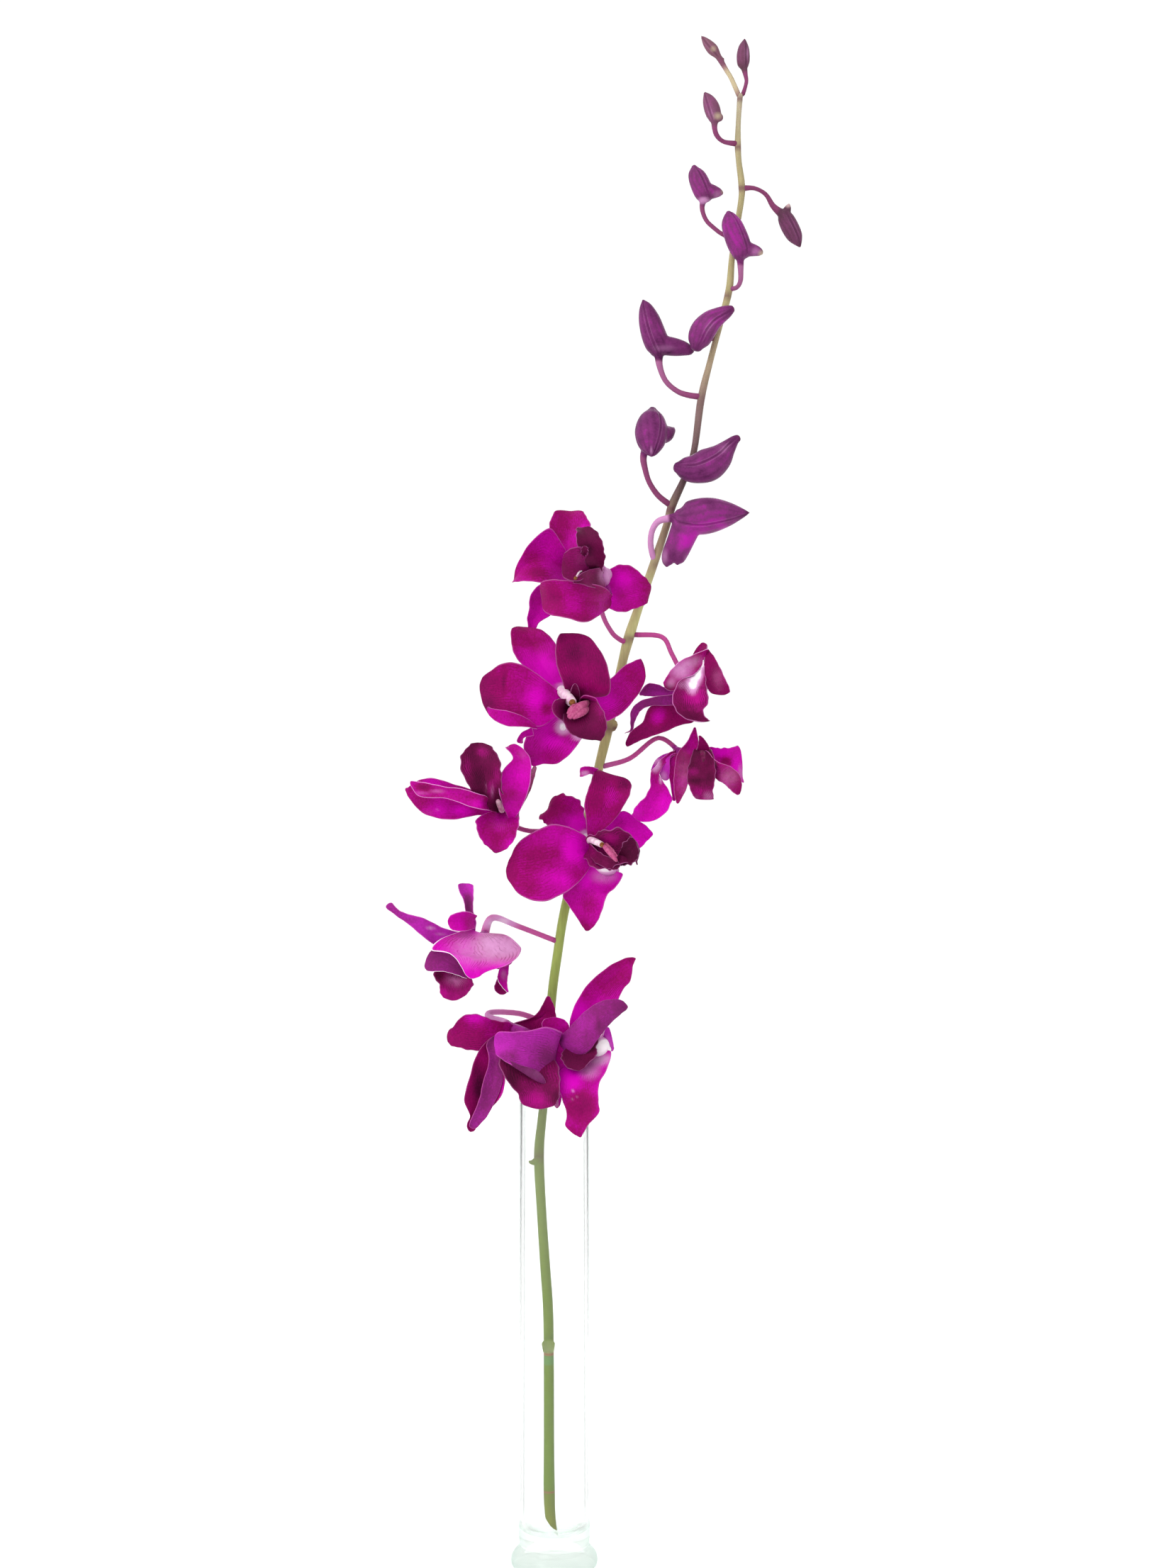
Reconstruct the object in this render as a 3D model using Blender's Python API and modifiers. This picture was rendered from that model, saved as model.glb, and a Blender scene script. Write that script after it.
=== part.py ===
"""A dendrobium orchid spray standing in a slim clear glass vase, at its real size.

Lengths are in millimetres and become metres when a mesh is made. X runs to the right, Z up and Y away
from the front. The origin is the centre of the vase's flat foot.
"""
import math

import bmesh
import bpy
import numpy as np

MM = 0.001
GAP = 0.3
MERGE = 0.000001
SOLVER = "MANIFOLD"

# the front viewpoint, from which the spray's outlines were measured
VIEWER = np.array([13.3, -900.0, 308.3])

# the vase
VASE_RADIUS = 14.0
VASE_WALL = 1.6
VASE_HEIGHT = 188.0
VASE_FLOOR = 13.6
VASE_CORNER = 6.0
# the foot's radius and height, from the waist down
FOOT_PROFILE = [(14, 11), (13.7, 8.8), (14.6, 7), (16.4, 4.8), (17, 3), (16.9, 1), (16.1, 0)]
VASE_SIDES = 24
CORNER_STEPS = 3
RIM_STEPS = 4
SMOOTH_ANGLE = math.radians(50)

# the flowers
PETAL_THICKNESS = 0.7
LIP_THICKNESS = 0.8
CROSS_CELLS = 4
LIP_CELLS = 4
NARROW_CELLS = 2
NARROW = 7.0
FLAT = 0.6
ROOT_SHARE = 0.5
ROOT_REACH = 0.4
ROOT_STRETCH = (0.15, 0.85)
CUP_POWER = 1.8
WAVE_TURNS = 3
WAVE_SHIFT = 1.7
STEP = 0.02
SAMPLES = 21
COLUMN_RADIUS = 1.5
COLUMN_TAPER = 0.9
PEDICEL_RADII = (1.15, 1.05, 1.1, 1.7)


def seen(x, z, y):
    """Place a point that shows at x and z from the front and lies y behind the vase's axis."""
    point = np.array([x, 0.0, z])
    return VIEWER + (point - VIEWER) * (1 - y / VIEWER[1])


def through(values, t):
    """Follow a smooth curve through a list of values, with t from 0 to 1."""
    last = len(values) - 1
    i = min(int(t * last), last - 1)
    f = t * last - i
    before = values[i - 1] if i else 2 * values[0] - values[1]
    after = values[i + 2] if i + 2 <= last else 2 * values[last] - values[last - 1]
    start, end = values[i], values[i + 1]
    square = 2 * before - 5 * start + 4 * end - after
    cube = 3 * start - before - 3 * end + after
    return 0.5 * (2 * start + (end - before) * f + square * f**2 + cube * f**3)


def blade(*rungs, cup=0.25, tilt=0.0, wave=0.0, flap=False):
    """Describe a petal by rungs from its root to its tip.

    A rung is its left edge's x and z, its right edge's x and z, and its depth. The cup lifts the edges
    by a share of the half width, the tilt turns the blade edge on, and a flap grows from another petal.
    """
    cups = cup if isinstance(cup, tuple) else (cup, cup)
    tilts = tilt if isinstance(tilt, tuple) else (tilt, tilt)
    return {"rungs": rungs, "cups": cups, "tilts": tilts, "wave": wave, "flap": flap}


# the nine open flowers, from the top one down
BLOOMS = {
    "a": {
        "depth": -2,
        "gain": 1.8,
        "tepals": [
            blade((5.5, 393, 9, 393.5, 3), (0.5, 401, 10, 400.5, 4), (-2, 408, 14.3, 408.5, 5),
                  (-1.5, 412, 13.3, 411.5, 5.5), (0, 414.8, 11.8, 414, 6), (2.5, 416.2, 10.5, 416, 7),
                  cup=(0.3, 0.45)),
            blade((7, 390.5, 7, 394, 2), (1, 388.3, 2.5, 402, -0.5), (-5, 388, -2.5, 409.3, -2),
                  (-10, 388, -9, 404.5, -3), (-14, 387.9, -13, 397.5, -3),
                  (-16.2, 387.6, -15.8, 390.5, -2), cup=(0.5, 0.3)),
            blade((7, 389, 3, 390, 5), (4, 384, -5, 388, 7), (1, 379, -9.3, 383, 8),
                  (-1.5, 375, -9.8, 378, 8.5), (-6, 372, -10.7, 373.5, 9), (-7.8, 368, -10, 368, 9),
                  cup=(0.2, 0.5)),
            blade((22.5, 383, 22, 379.5, 0), (19, 385, 17, 375.3, -5), (11, 386.8, 11, 371.9, -8.5),
                  (4, 387.8, 4.5, 373.8, -9), (-2, 387.9, -1.5, 375.2, -8), (-6, 386, -4.6, 379.5, -6),
                  cup=-0.3),
            blade((17.5, 390, 17, 386, 3), (23.5, 394, 21.5, 377.8, 3), (29, 394.8, 27, 376, 2.5),
                  (34, 391.2, 32, 377.7, 3), (37.3, 387.8, 35.5, 379.3, 4), (38.2, 385, 37, 381.3, 5),
                  cup=0.2),
        ],
        "lip": [
            blade((15, 391.5, 18.5, 393, -4), (12.5, 396, 19.8, 397.5, -8),
                  (9.5, 401, 19.7, 401.5, -10), (8.6, 405, 18.3, 404.5, -10),
                  (8.8, 408, 15.3, 408.5, -8), (9.3, 409.3, 12.5, 409.8, -7), cup=0.4),
            blade((16.5, 391, 16.5, 395, -4), (11, 390.3, 12.5, 399.5, -9),
                  (7.5, 388.3, 8.5, 402, -12), (4.8, 389, 5.3, 400.3, -12.5),
                  (2.8, 392.5, 3.2, 397, -12), cup=0.4),
            blade((18.5, 386.8, 18, 393.8, -4), (14, 386.4, 13.5, 393, -9),
                  (10, 387.3, 10, 391.3, -12), (7.3, 387.6, 7.6, 388.6, -13), cup=0.3),
        ],
        "column": [(15, 391, -3), (10.5, 391.5, -9), (8, 389.5, -12)],
        "core": [(9, 391.5, 3.5), (15, 391, 1), (19.5, 391, 0), (21.5, 391.5, 0)],
        "core_radii": (2.6, 4.2, 4.8, 2.2),
        "pedicel": [(28.8, 364), (25.5, 365.6), (22.5, 368.5), (19, 375.5), (17, 387)],
    },
    "b": {
        "depth": -8,
        "gain": 1.8,
        "tepals": [
            blade((3, 343, 6.5, 345, 2), (-8, 351, 1.5, 352.5, 3), (-14.7, 357, 0.8, 359, 4),
                  (-16.7, 362, 0, 364.2, 5), (-17.2, 367.5, -3.5, 367.8, 5.5),
                  (-16.4, 370.8, -8.5, 370, 7), cup=0.2),
            blade((6.5, 343.5, 12, 343, 0), (4, 348, 21.5, 344.3, -3), (1.3, 354, 22, 351, -4),
                  (0.3, 360, 19.5, 358.5, -4), (1.5, 366.3, 15, 364.5, -3), (5, 368, 11.5, 367.7, -2),
                  cup=0.2),
            blade((4, 338.5, 4.5, 342.5, 0), (-4, 331.5, -3.5, 349, -2), (-11, 331, -11, 354.5, -3),
                  (-19, 331.4, -18.5, 356.4, -3.5), (-25.3, 335.3, -25, 353, -3),
                  (-29.5, 343.5, -29.7, 349.3, -2), cup=0.15),
            blade((-7, 331, -6.8, 330, -3.5), (-11.5, 334.6, -12, 330.9, -5.4),
                  (-18, 337.1, -19, 331.2, -6.2), (-24, 338, -24.8, 334.4, -5.8),
                  (-26.3, 338.9, -26.8, 338.2, -4.6), cup=-0.3, flap=True),
            blade((11, 343, 10.5, 338, 2), (18, 346.5, 18.5, 333, 3), (22.5, 350.3, 25.5, 335.3, 3.5),
                  (27.5, 355, 31, 341, 4), (32.3, 357.3, 35, 347.3, 5), (34.5, 357.9, 36.2, 353, 6),
                  cup=0.15),
            blade((12, 330.5, 1, 337, 2), (11.5, 326.5, -6.5, 331, 1.5), (7.5, 321.5, -10.5, 328.5, 1),
                  (2, 317.3, -11.5, 323, 2), (-4, 316.8, -10.3, 319, 3), (-8, 315, -9.3, 315.8, 4),
                  cup=(0.3, 0.5)),
            blade((-8, 327.4, -8.6, 330.8, -2.2), (-12, 326.5, -13, 328.5, -1.5),
                  (-12.2, 324.1, -15.3, 324.7, 0), cup=0.3, flap=True),
        ],
        "lip": [
            blade((13.5, 341.5, 6, 337, -2), (18, 338.8, 4.2, 332.8, -7), (20.6, 334, 5.5, 328.4, -9),
                  (20, 330.5, 10, 327, -9), (17.3, 325, 14.8, 327, -8), cup=0.35),
            blade((5, 335.5, 5, 341, -3), (3, 333, 3, 342, -7), (0.3, 334.5, 0.3, 341.8, -10),
                  (-1, 337, -0.9, 340.3, -10.5), cup=0.3),
        ],
        "column": [(4, 343.5, 0), (6.5, 341.5, -4), (8, 339.8, -6.5)],
        "core": [(5, 342, 3), (8, 338, 2.5), (10, 333, 3), (10.5, 330.5, 3.5)],
        "core_radii": (2.8, 4.0, 3.6, 1.8),
        "pedicel": [(20.8, 331), (16, 332.5), (11, 335), (8, 338)],
    },
    "c": {
        "depth": 6,
        "gain": 1.8,
        "tepals": [
            blade((60.5, 361.3, 59.5, 359.5, -1), (55.5, 359, 57, 354.3, -2.5),
                  (50.5, 356.5, 53.5, 351.2, -4), (47, 352.8, 50, 350.3, -5),
                  (44.5, 349, 48.3, 347.5, -5.5), (43, 346.6, 46.5, 345, -5.5), cup=-0.3),
            blade((60.4, 363, 59.5, 360.6, 1), (58.7, 364.2, 58, 361, 2.5), (56.4, 362.5, 56.3, 360, 3.5),
                  (54.6, 359.2, 55, 358.4, 4), cup=-0.2),
            blade((60, 360.8, 60.8, 361, 0), (59.6, 356.5, 63, 358, -2), (59.5, 351.5, 65.2, 353.8, -3),
                  (61, 347.3, 67.3, 349.3, -3.5), (63, 345.2, 69.1, 345.8, -3),
                  (65.5, 343.8, 68.5, 343.7, -2.5), cup=-0.4),
            blade((51, 342.5, 51, 346, 2), (44.5, 343.2, 44.5, 346.3, 2), (39, 342.9, 40.3, 347.8, 1.5),
                  (36, 343, 36.5, 347.9, 1), (33.3, 343.4, 33.8, 344.6, 0.5), cup=0.3),
            blade((48, 339.5, 48, 344, 0), (39, 339.3, 39.5, 342.8, -1.5), (34.8, 337.8, 33.5, 340.8, -2),
                  (33.3, 336, 30.4, 337.5, -2), (31.8, 333, 30, 333, -1.5), (30.9, 329.5, 30, 329.7, -1),
                  (28.5, 328.6, 27.5, 328.1, -1), cup=0.3),
            blade((55.5, 333.5, 53, 342, 2), (49.5, 331.3, 44, 341.5, 1), (43, 328.5, 37, 338.3, 0),
                  (37, 326.6, 34.9, 332.9, -0.5), (32, 324.5, 30.2, 329, -0.5),
                  (28.8, 322.8, 27.9, 323.9, 0), cup=0.3),
        ],
        "lip": [
            blade((55.5, 356, 59, 358, -1), (52, 351, 59.3, 352, -4), (49.5, 346, 60.3, 347, -6),
                  (48, 341.5, 60.5, 342, -7), (48, 337.5, 59.7, 338, -7.5),
                  (52, 334.2, 61.3, 333.4, -8), cup=-0.5),
        ],
        "column": [(53.5, 346, 0), (51, 341, -1.5), (50, 337, -3)],
        "core": [(60, 361, 0), (57.5, 355.5, 0), (55, 349, 0), (52, 344, 1.5)],
        "core_radii": (0.8, 3.4, 4.0, 2.8),
        "pedicel": [(31.5, 367.3), (42.5, 366.4), (46.5, 359.5), (52, 349)],
    },
    "d": {
        "depth": 1,
        "gain": 1.8,
        "tepals": [
            blade((47.5, 319.5, 46, 321, 2), (43, 315.5, 41, 316.8, 0), (41.7, 311, 37.9, 312, -1),
                  (44.8, 306.5, 37.7, 306.5, -2), (46.5, 301.5, 34.5, 302, -2),
                  (43, 296.3, 31.3, 298.5, -2), (35, 292.6, 30.5, 295.4, -1), cup=0.3),
            blade((48, 319.5, 46, 319.5, 2), (47.4, 312, 45.4, 312, 0), (47.3, 305, 45.6, 305, 0),
                  (47.3, 301.5, 46.5, 301.5, 0), cup=0.3, tilt=-1.5),
            blade((46, 319, 43, 318, 1), (45.7, 314, 41.5, 314, 0), (45.3, 310, 43, 309.8, 0), cup=0.3),
            blade((47, 320, 48.5, 321.2, 3), (42.5, 317.8, 43.5, 320.2, 4), (40.3, 315.3, 40, 317.8, 5),
                  (39, 313, 38, 313.3, 5), cup=-0.3),
            blade((55.2, 330.8, 55.8, 330.8, -2), (53, 325.5, 57, 325, 0.8),
                  (48.8, 319.3, 55.3, 319.5, 2.9), (47.3, 312, 53.5, 312.5, -3.5),
                  (47.2, 306, 52.2, 306.5, -4.5), (48.2, 300.6, 49, 300.4, -4), cup=-0.3, flap=True),
            blade((54.5, 317, 61.5, 317.5, 3), (56, 321, 61.8, 321.5, 2.5), (57, 325, 60, 325, 2),
                  (57, 327.5, 57.8, 327.5, 2), cup=0.3),
            blade((59.5, 323, 60, 316, 4), (64.5, 322.6, 64.5, 314.5, 4), (68.5, 322.6, 69, 311, 3.5),
                  (71.9, 323, 73, 309, 4.5), (74.3, 317.3, 74.3, 307.5, 5.5), cup=0.25),
            blade((61, 315, 61, 321.5, 1), (64.5, 310.2, 65, 317.2, -2.5), (67.5, 308, 69.5, 315.3, -3.5),
                  (70, 305.3, 73, 312, -3.5), (73, 303.4, 74.2, 306.6, -3), cup=-0.3),
        ],
        "lip": [
            blade((62, 320, 55.5, 320, 1), (63.2, 315, 53.8, 315, -2), (63, 310.5, 53, 309.5, -4.5),
                  (62.6, 306, 54, 305, -5.5), (62.6, 302.2, 55.6, 302.4, -5.5), cup=0.5),
        ],
        "column": [(58.5, 320, 1), (59, 315, -1), (59, 311, -2)],
        "core": [(48, 321.5, 4), (51.5, 319.5, 4), (56, 319, 4.5), (59, 319, 5)],
        "core_radii": (1.8, 3.2, 3.6, 2.6),
        "pedicel": [(19.5, 315.3), (30, 318.5), (41, 326.5), (49.5, 321)],
    },
    "e": {
        "depth": -11,
        "gain": 1.8,
        "tepals": [
            blade((-24, 295.3, -22, 299.5, 2), (-31, 295.9, -32, 305.8, 1), (-38.5, 294.3, -40, 308.2, 0),
                  (-46, 294.7, -47, 310.6, -0.5), (-52.5, 297.5, -53, 310, 0),
                  (-57, 302.5, -57.2, 307.3, 0.5), (-59, 306, -58.8, 306.6, 1), cup=0.25),
            blade((-22, 300.5, -22, 297.5, -1.5), (-28.5, 302.4, -28, 298.2, -3),
                  (-35.5, 305.8, -35, 300.2, -4.5), (-43.5, 307.2, -42.5, 302.8, -5),
                  (-51, 308.9, -52.5, 303.1, -4.5), (-57.1, 309.5, -57, 308, -3.5), cup=-0.4),
            blade((-16.2, 294.2, -18, 294.6, -1), (-12.8, 300, -20.3, 300, -4),
                  (-9.9, 307, -21.9, 307.5, -7), (-9, 313.5, -20.5, 313.2, -7),
                  (-9.8, 319, -16.3, 318.3, -6), (-13.5, 322.9, -18.9, 321.8, -5),
                  (-16.8, 324.3, -19.3, 322.4, -4), cup=-0.25),
            blade((-17, 296, -14, 297.5, 1), (-14, 300, -12, 301, 2), (-12, 306, -9.5, 306, 2.5),
                  (-10.5, 311, -8, 311, 2), (-8, 315.5, -7, 315.3, 1), cup=0.3, tilt=3),
            blade((-14.8, 298, -22.5, 297.3, 1), (-13.6, 294, -30.3, 293.6, -1.5),
                  (-14.2, 290.3, -30.8, 290.8, -2.5), (-16, 286, -28.8, 286.3, -2.5),
                  (-19, 283, -26, 283.6, -2), (-22.5, 281.5, -23.5, 281.5, -1), cup=0.25),
        ],
        "lip": [
            blade((-25, 298.5, -20.5, 301, -2), (-31, 303, -20.8, 306, -6),
                  (-34.5, 309.5, -20.8, 311.5, -8), (-37.2, 316, -21, 315.8, -8.5),
                  (-35.5, 320.5, -23.6, 320.6, -7.5), (-31.5, 324.2, -27, 323.8, -6), cup=0.4),
        ],
        "column": [(-20.5, 297, -3.5), (-21.3, 299.5, -6.5), (-22.2, 302.5, -9)],
        "core": [(-20.5, 298, 2), (-19, 296, 3), (-17, 293, 4), (-16, 291, 5)],
        "core_radii": (2.8, 3.4, 2.6, 1.6),
        "pedicel": [(11.5, 289.8), (0, 289.8), (-10, 289.8), (-16.8, 292)],
    },
    "f": {
        "depth": -4,
        "gain": 1.8,
        "tepals": [
            blade((13, 287.5, 18, 289, 1), (12.5, 294, 24.3, 295, 0), (11.8, 301, 28, 300.7, -0.5),
                  (13.3, 306, 30.2, 305, -0.5), (15, 310.5, 29.8, 308.8, 0.5),
                  (16, 314.7, 23.5, 311.5, 2), cup=0.2),
            blade((15.5, 311.5, 17, 314.6, 1), (13.8, 312.3, 14, 315.2, -1),
                  (11.5, 311.8, 11.8, 314.9, -1.5), (10.7, 311.5, 10.4, 313.5, -1), cup=0.5, flap=True),
            blade((11, 287.5, 14, 289, 3), (4, 291, 12, 296, 3.5), (-0.5, 292, 10.5, 301.3, 3.5),
                  (-3.5, 292.5, 6, 303.7, 3.5), (-4.7, 294.3, 1.5, 303.7, 4),
                  (-3.5, 296.5, -1.8, 300, 5), cup=0.3, wave=0.5),
            blade((13.8, 276, 13, 285, 1), (9.5, 270, 8, 288.7, -0.5), (3, 264.8, 0, 292.4, -2),
                  (-5, 261.8, -8, 289.8, -3), (-12.5, 264, -14.3, 285, -3),
                  (-17.5, 269.5, -16.7, 280, -2.5), (-19.2, 272.7, -19, 276, -2), cup=0.15),
            blade((27, 272.6, 14, 276, 2), (24.5, 267.5, 9.5, 270.5, 1.5), (20.8, 264, 3.3, 264.8, 1),
                  (18.8, 258, 6, 260, 1), (16.3, 253, 9.8, 254.5, 1.5), (13.3, 250.2, 12.3, 250.2, 2.5),
                  cup=0.3),
            blade((17, 290.5, 18, 286, 4), (22, 294, 25, 285, 4.5), (27, 297.8, 30, 283.5, 4.5),
                  (31.5, 294.8, 33.3, 282.8, 5), (36, 292, 36.3, 285.6, 5.5), (39.1, 288.7, 38.9, 288, 6),
                  cup=0.2),
        ],
        "lip": [
            blade((14.5, 286.5, 13.3, 279.5, -1), (18.5, 288.8, 18, 275.8, -4.5),
                  (24, 290.3, 23.5, 274.3, -8), (28.5, 290.4, 28, 276.8, -9.5),
                  (31.8, 285, 31.6, 277.5, -9.5), (33.8, 280.2, 31.8, 275.4, -9), cup=0.6, wave=0.5),
        ],
        "column": [(14.5, 286, -2), (17.5, 284.8, -6.5), (20, 283.3, -9)],
        "core": [(14.5, 285.5, 3), (17, 281, 2), (21, 275.5, 2), (24.5, 273.8, 3)],
        "core_radii": (2.8, 4.2, 3.8, 1.6),
        "pedicel": [(8.5, 276), (10, 279), (12, 281.5), (15, 282.5)],
    },
    "g": {
        "depth": -8,
        "gain": 1.8,
        "tepals": [
            blade((-33, 250.4, -27, 248.3, 0), (-44.5, 247, -23, 246, -3), (-48.3, 242.2, -19.5, 241.5, -6),
                  (-40.5, 240.5, -21, 236, -7.5), (-36.8, 236, -26.5, 234.3, -8),
                  (-34.3, 231.8, -31, 231.3, -8.5), cup=-0.3),
            blade((-27, 243, -27, 248, 1), (-23, 235.5, -22, 246.8, 0.5), (-17.6, 236.6, -17.5, 245.6, -0.5),
                  (-15, 239.9, -14.3, 243.3, -0.5), (-13.3, 240.3, -13, 241.5, -0.5), cup=-0.25),
            blade((-38, 246, -36, 249.5, 1), (-46.5, 244.6, -44.5, 251.8, 0),
                  (-51.5, 247.5, -51.5, 255.3, -1.5), (-56.5, 252, -57.5, 256.9, -2),
                  (-62, 256, -61.3, 258.5, -2), (-67.3, 259.8, -64.6, 262, -1), cup=0.3),
            blade((-35, 250, -31, 250, 1), (-35, 254, -30.8, 254, 0), (-35.2, 258.5, -32, 258, 0),
                  (-36, 262.5, -31.9, 262.5, 0.5), (-38.1, 267, -31.8, 266.5, 1),
                  (-37.6, 269.1, -32.4, 269, 2), cup=0.4),
            blade((-31, 256.5, -32, 251.5, -0.5), (-35.5, 258.1, -35.5, 250.3, -3),
                  (-39.3, 257.4, -39.3, 250.3, -4), (-42.3, 255.5, -42, 252, -4), cup=-0.4, flap=True),
            blade((-33, 231.8, -32, 238, -3), (-38.5, 232.8, -38, 240, -4.5),
                  (-43.5, 234.2, -43, 242.2, -5), (-48.5, 234.2, -47.5, 242, -5),
                  (-52.1, 234.1, -50, 238.5, -4.5), cup=0.2),
            blade((-18.3, 238.5, -21.5, 238.5, 1), (-18.6, 233.5, -22.6, 233.5, -0.5),
                  (-18.5, 229.5, -23.1, 230.5, -1), (-18.1, 227, -23.8, 227.8, -1.5),
                  (-18.6, 225.3, -22.6, 225.3, -1.5), cup=0.4, flap=True),
        ],
        "lip": [
            blade((-33, 236, -41, 238, -1), (-33, 231.5, -47.8, 232.5, -3),
                  (-31.8, 228.5, -45.5, 228.7, -4), (-34, 225.8, -44.8, 225, -4.5),
                  (-37, 223.4, -42.5, 223.2, -4.5), cup=0.3),
        ],
        "column": [(-31, 243, 0), (-33, 239.5, -1.5), (-34, 237, -2)],
        "core": [(-27.5, 249, 3), (-28.5, 246.5, 1.5), (-28, 243, 1), (-25, 240.5, 1.5)],
        "core_radii": (1.6, 3.0, 3.4, 2.0),
        "pedicel": [(1.5, 246), (-14, 252), (-24.5, 255.5), (-27.8, 248)],
    },
    "h": {
        "depth": -6,
        "gain": 1.3,
        "tepals": [
            blade((-20, 207.5, -18.5, 213.5, -1), (-25.5, 204, -24.5, 214.7, -2.5),
                  (-31, 203, -29.5, 217.3, -3.5), (-36.5, 204, -35.5, 217.2, -3.5),
                  (-40.5, 205, -40, 212.3, -3), (-42.6, 207.3, -42.2, 210.7, -2), cup=0.2),
            blade((-20, 205, -26.5, 206.5, -3), (-21, 198, -31, 200.5, -5), (-19.2, 191, -33.6, 192, -6),
                  (-21.5, 184.5, -35.6, 184, -6), (-27.5, 178.5, -33.3, 178, -5.5),
                  (-31, 172.3, -34.5, 173.8, -5), (-32.3, 170.8, -33.8, 170.9, -5), cup=0.5),
            blade((-0.5, 210, 0, 190, -4), (-4.5, 212.8, -5.5, 191.5, -7), (-10, 211.4, -11, 194.3, -9.5),
                  (-16, 210.7, -16.5, 197.2, -10.5), (-21.5, 210.6, -21, 200.2, -10),
                  (-24, 207.5, -23.6, 203.5, -9), cup=-0.3),
            blade((-12, 207, -2, 207, 4), (-18.5, 213, 1, 214.5, 4), (-8.5, 216.7, 0.7, 217.3, 3.5),
                  (-5.3, 220.3, -0.1, 221, 2.5), (-3, 224.6, -1.9, 224.6, 1.5), cup=0.2),
        ],
        "lip": [
            blade((-1, 199, -14, 200, -3), (1.5, 192, -18.5, 192.5, -9), (2.3, 186.5, -15, 186.8, -13),
                  (1.5, 181.8, -13, 181.8, -14.5), (-3, 180, -9, 179.9, -15), cup=0.25),
        ],
        "column": [(-10, 203, -4), (-11, 199.5, -6.5), (-11, 197, -8)],
        "core": [(-18, 213, 2), (-13, 209.5, 0), (-8, 206, 0), (-4, 204.5, 0)],
        "core_radii": (1.6, 3.2, 4.0, 2.8),
        "pedicel": [(-3, 213.5), (-16, 218.5), (-29.5, 219.3), (-17, 212.6)],
    },
    "i": {
        "depth": -6,
        "gain": 1.3,
        "tepals": [
            blade((7, 207, 14, 205.5, 2), (5.9, 214, 18, 212, 3), (8.7, 222.5, 23.5, 219.5, 3.5),
                  (14, 230.2, 27, 226.8, 4), (20.5, 235.7, 30.2, 231, 4), (27.5, 239.4, 31, 236.5, 4.5),
                  (31.5, 239.6, 32.2, 239.1, 4.5), cup=0.25),
            blade((1.5, 207, 2.5, 202, 0), (4.5, 211.3, 7, 200.5, -5), (9.5, 216.4, 12.5, 202, -7.5),
                  (15.5, 220.9, 17, 207, -8.5), (21.5, 223, 22, 213, -8), (26.5, 223, 26, 216.8, -7),
                  (29.2, 220.6, 28.9, 219.5, -6), cup=-0.3),
            blade((22.8, 201, 8, 199, -1), (20.8, 194, 2, 195.5, -6), (17.5, 188, 1.3, 190, -10.5),
                  (17.5, 183, 3, 184, -12.5), (17.6, 178, 4.8, 178, -13.5), (13, 173.3, 4.4, 172.8, -14),
                  (10.6, 168.3, 9, 169.2, -13.5), cup=(0.3, -0.1), wave=0.4),
            blade((17, 206.5, 21.3, 212.3, 1.5), (20.5, 205.3, 22.9, 207.5, 1),
                  (22.6, 202.3, 23.7, 203.3, 1), cup=0.3),
            blade((0, 203, 4, 203, 1), (-2.6, 208, 5, 208, 1), (-5, 212.5, 6, 212.5, 0.5),
                  (-4.2, 215.3, 4.3, 215, 0.5), (-1.5, 216.3, 2, 216.2, 0.5), cup=0.15),
        ],
        "lip": [
            blade((17.5, 208, 7, 206, 0), (17, 203.5, 3.5, 202, -2.5), (16.3, 199.5, 3.5, 198.5, -3.5),
                  (12.8, 197.3, 6, 197, -4.5), (10.3, 195.7, 8.8, 195.8, -4.5), cup=0.3),
        ],
        "column": [(11.5, 205, -2), (9.5, 203.5, -5), (8, 202.5, -7)],
        "core": [(3, 205, 1), (10, 206, 2), (18.5, 204, 0), (21.5, 203, 0)],
        "core_radii": (1.6, 4.0, 4.4, 1.6),
        "pedicel": [(-3, 205), (2, 206), (7, 206.5), (12, 205.5)],
    },
}

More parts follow.
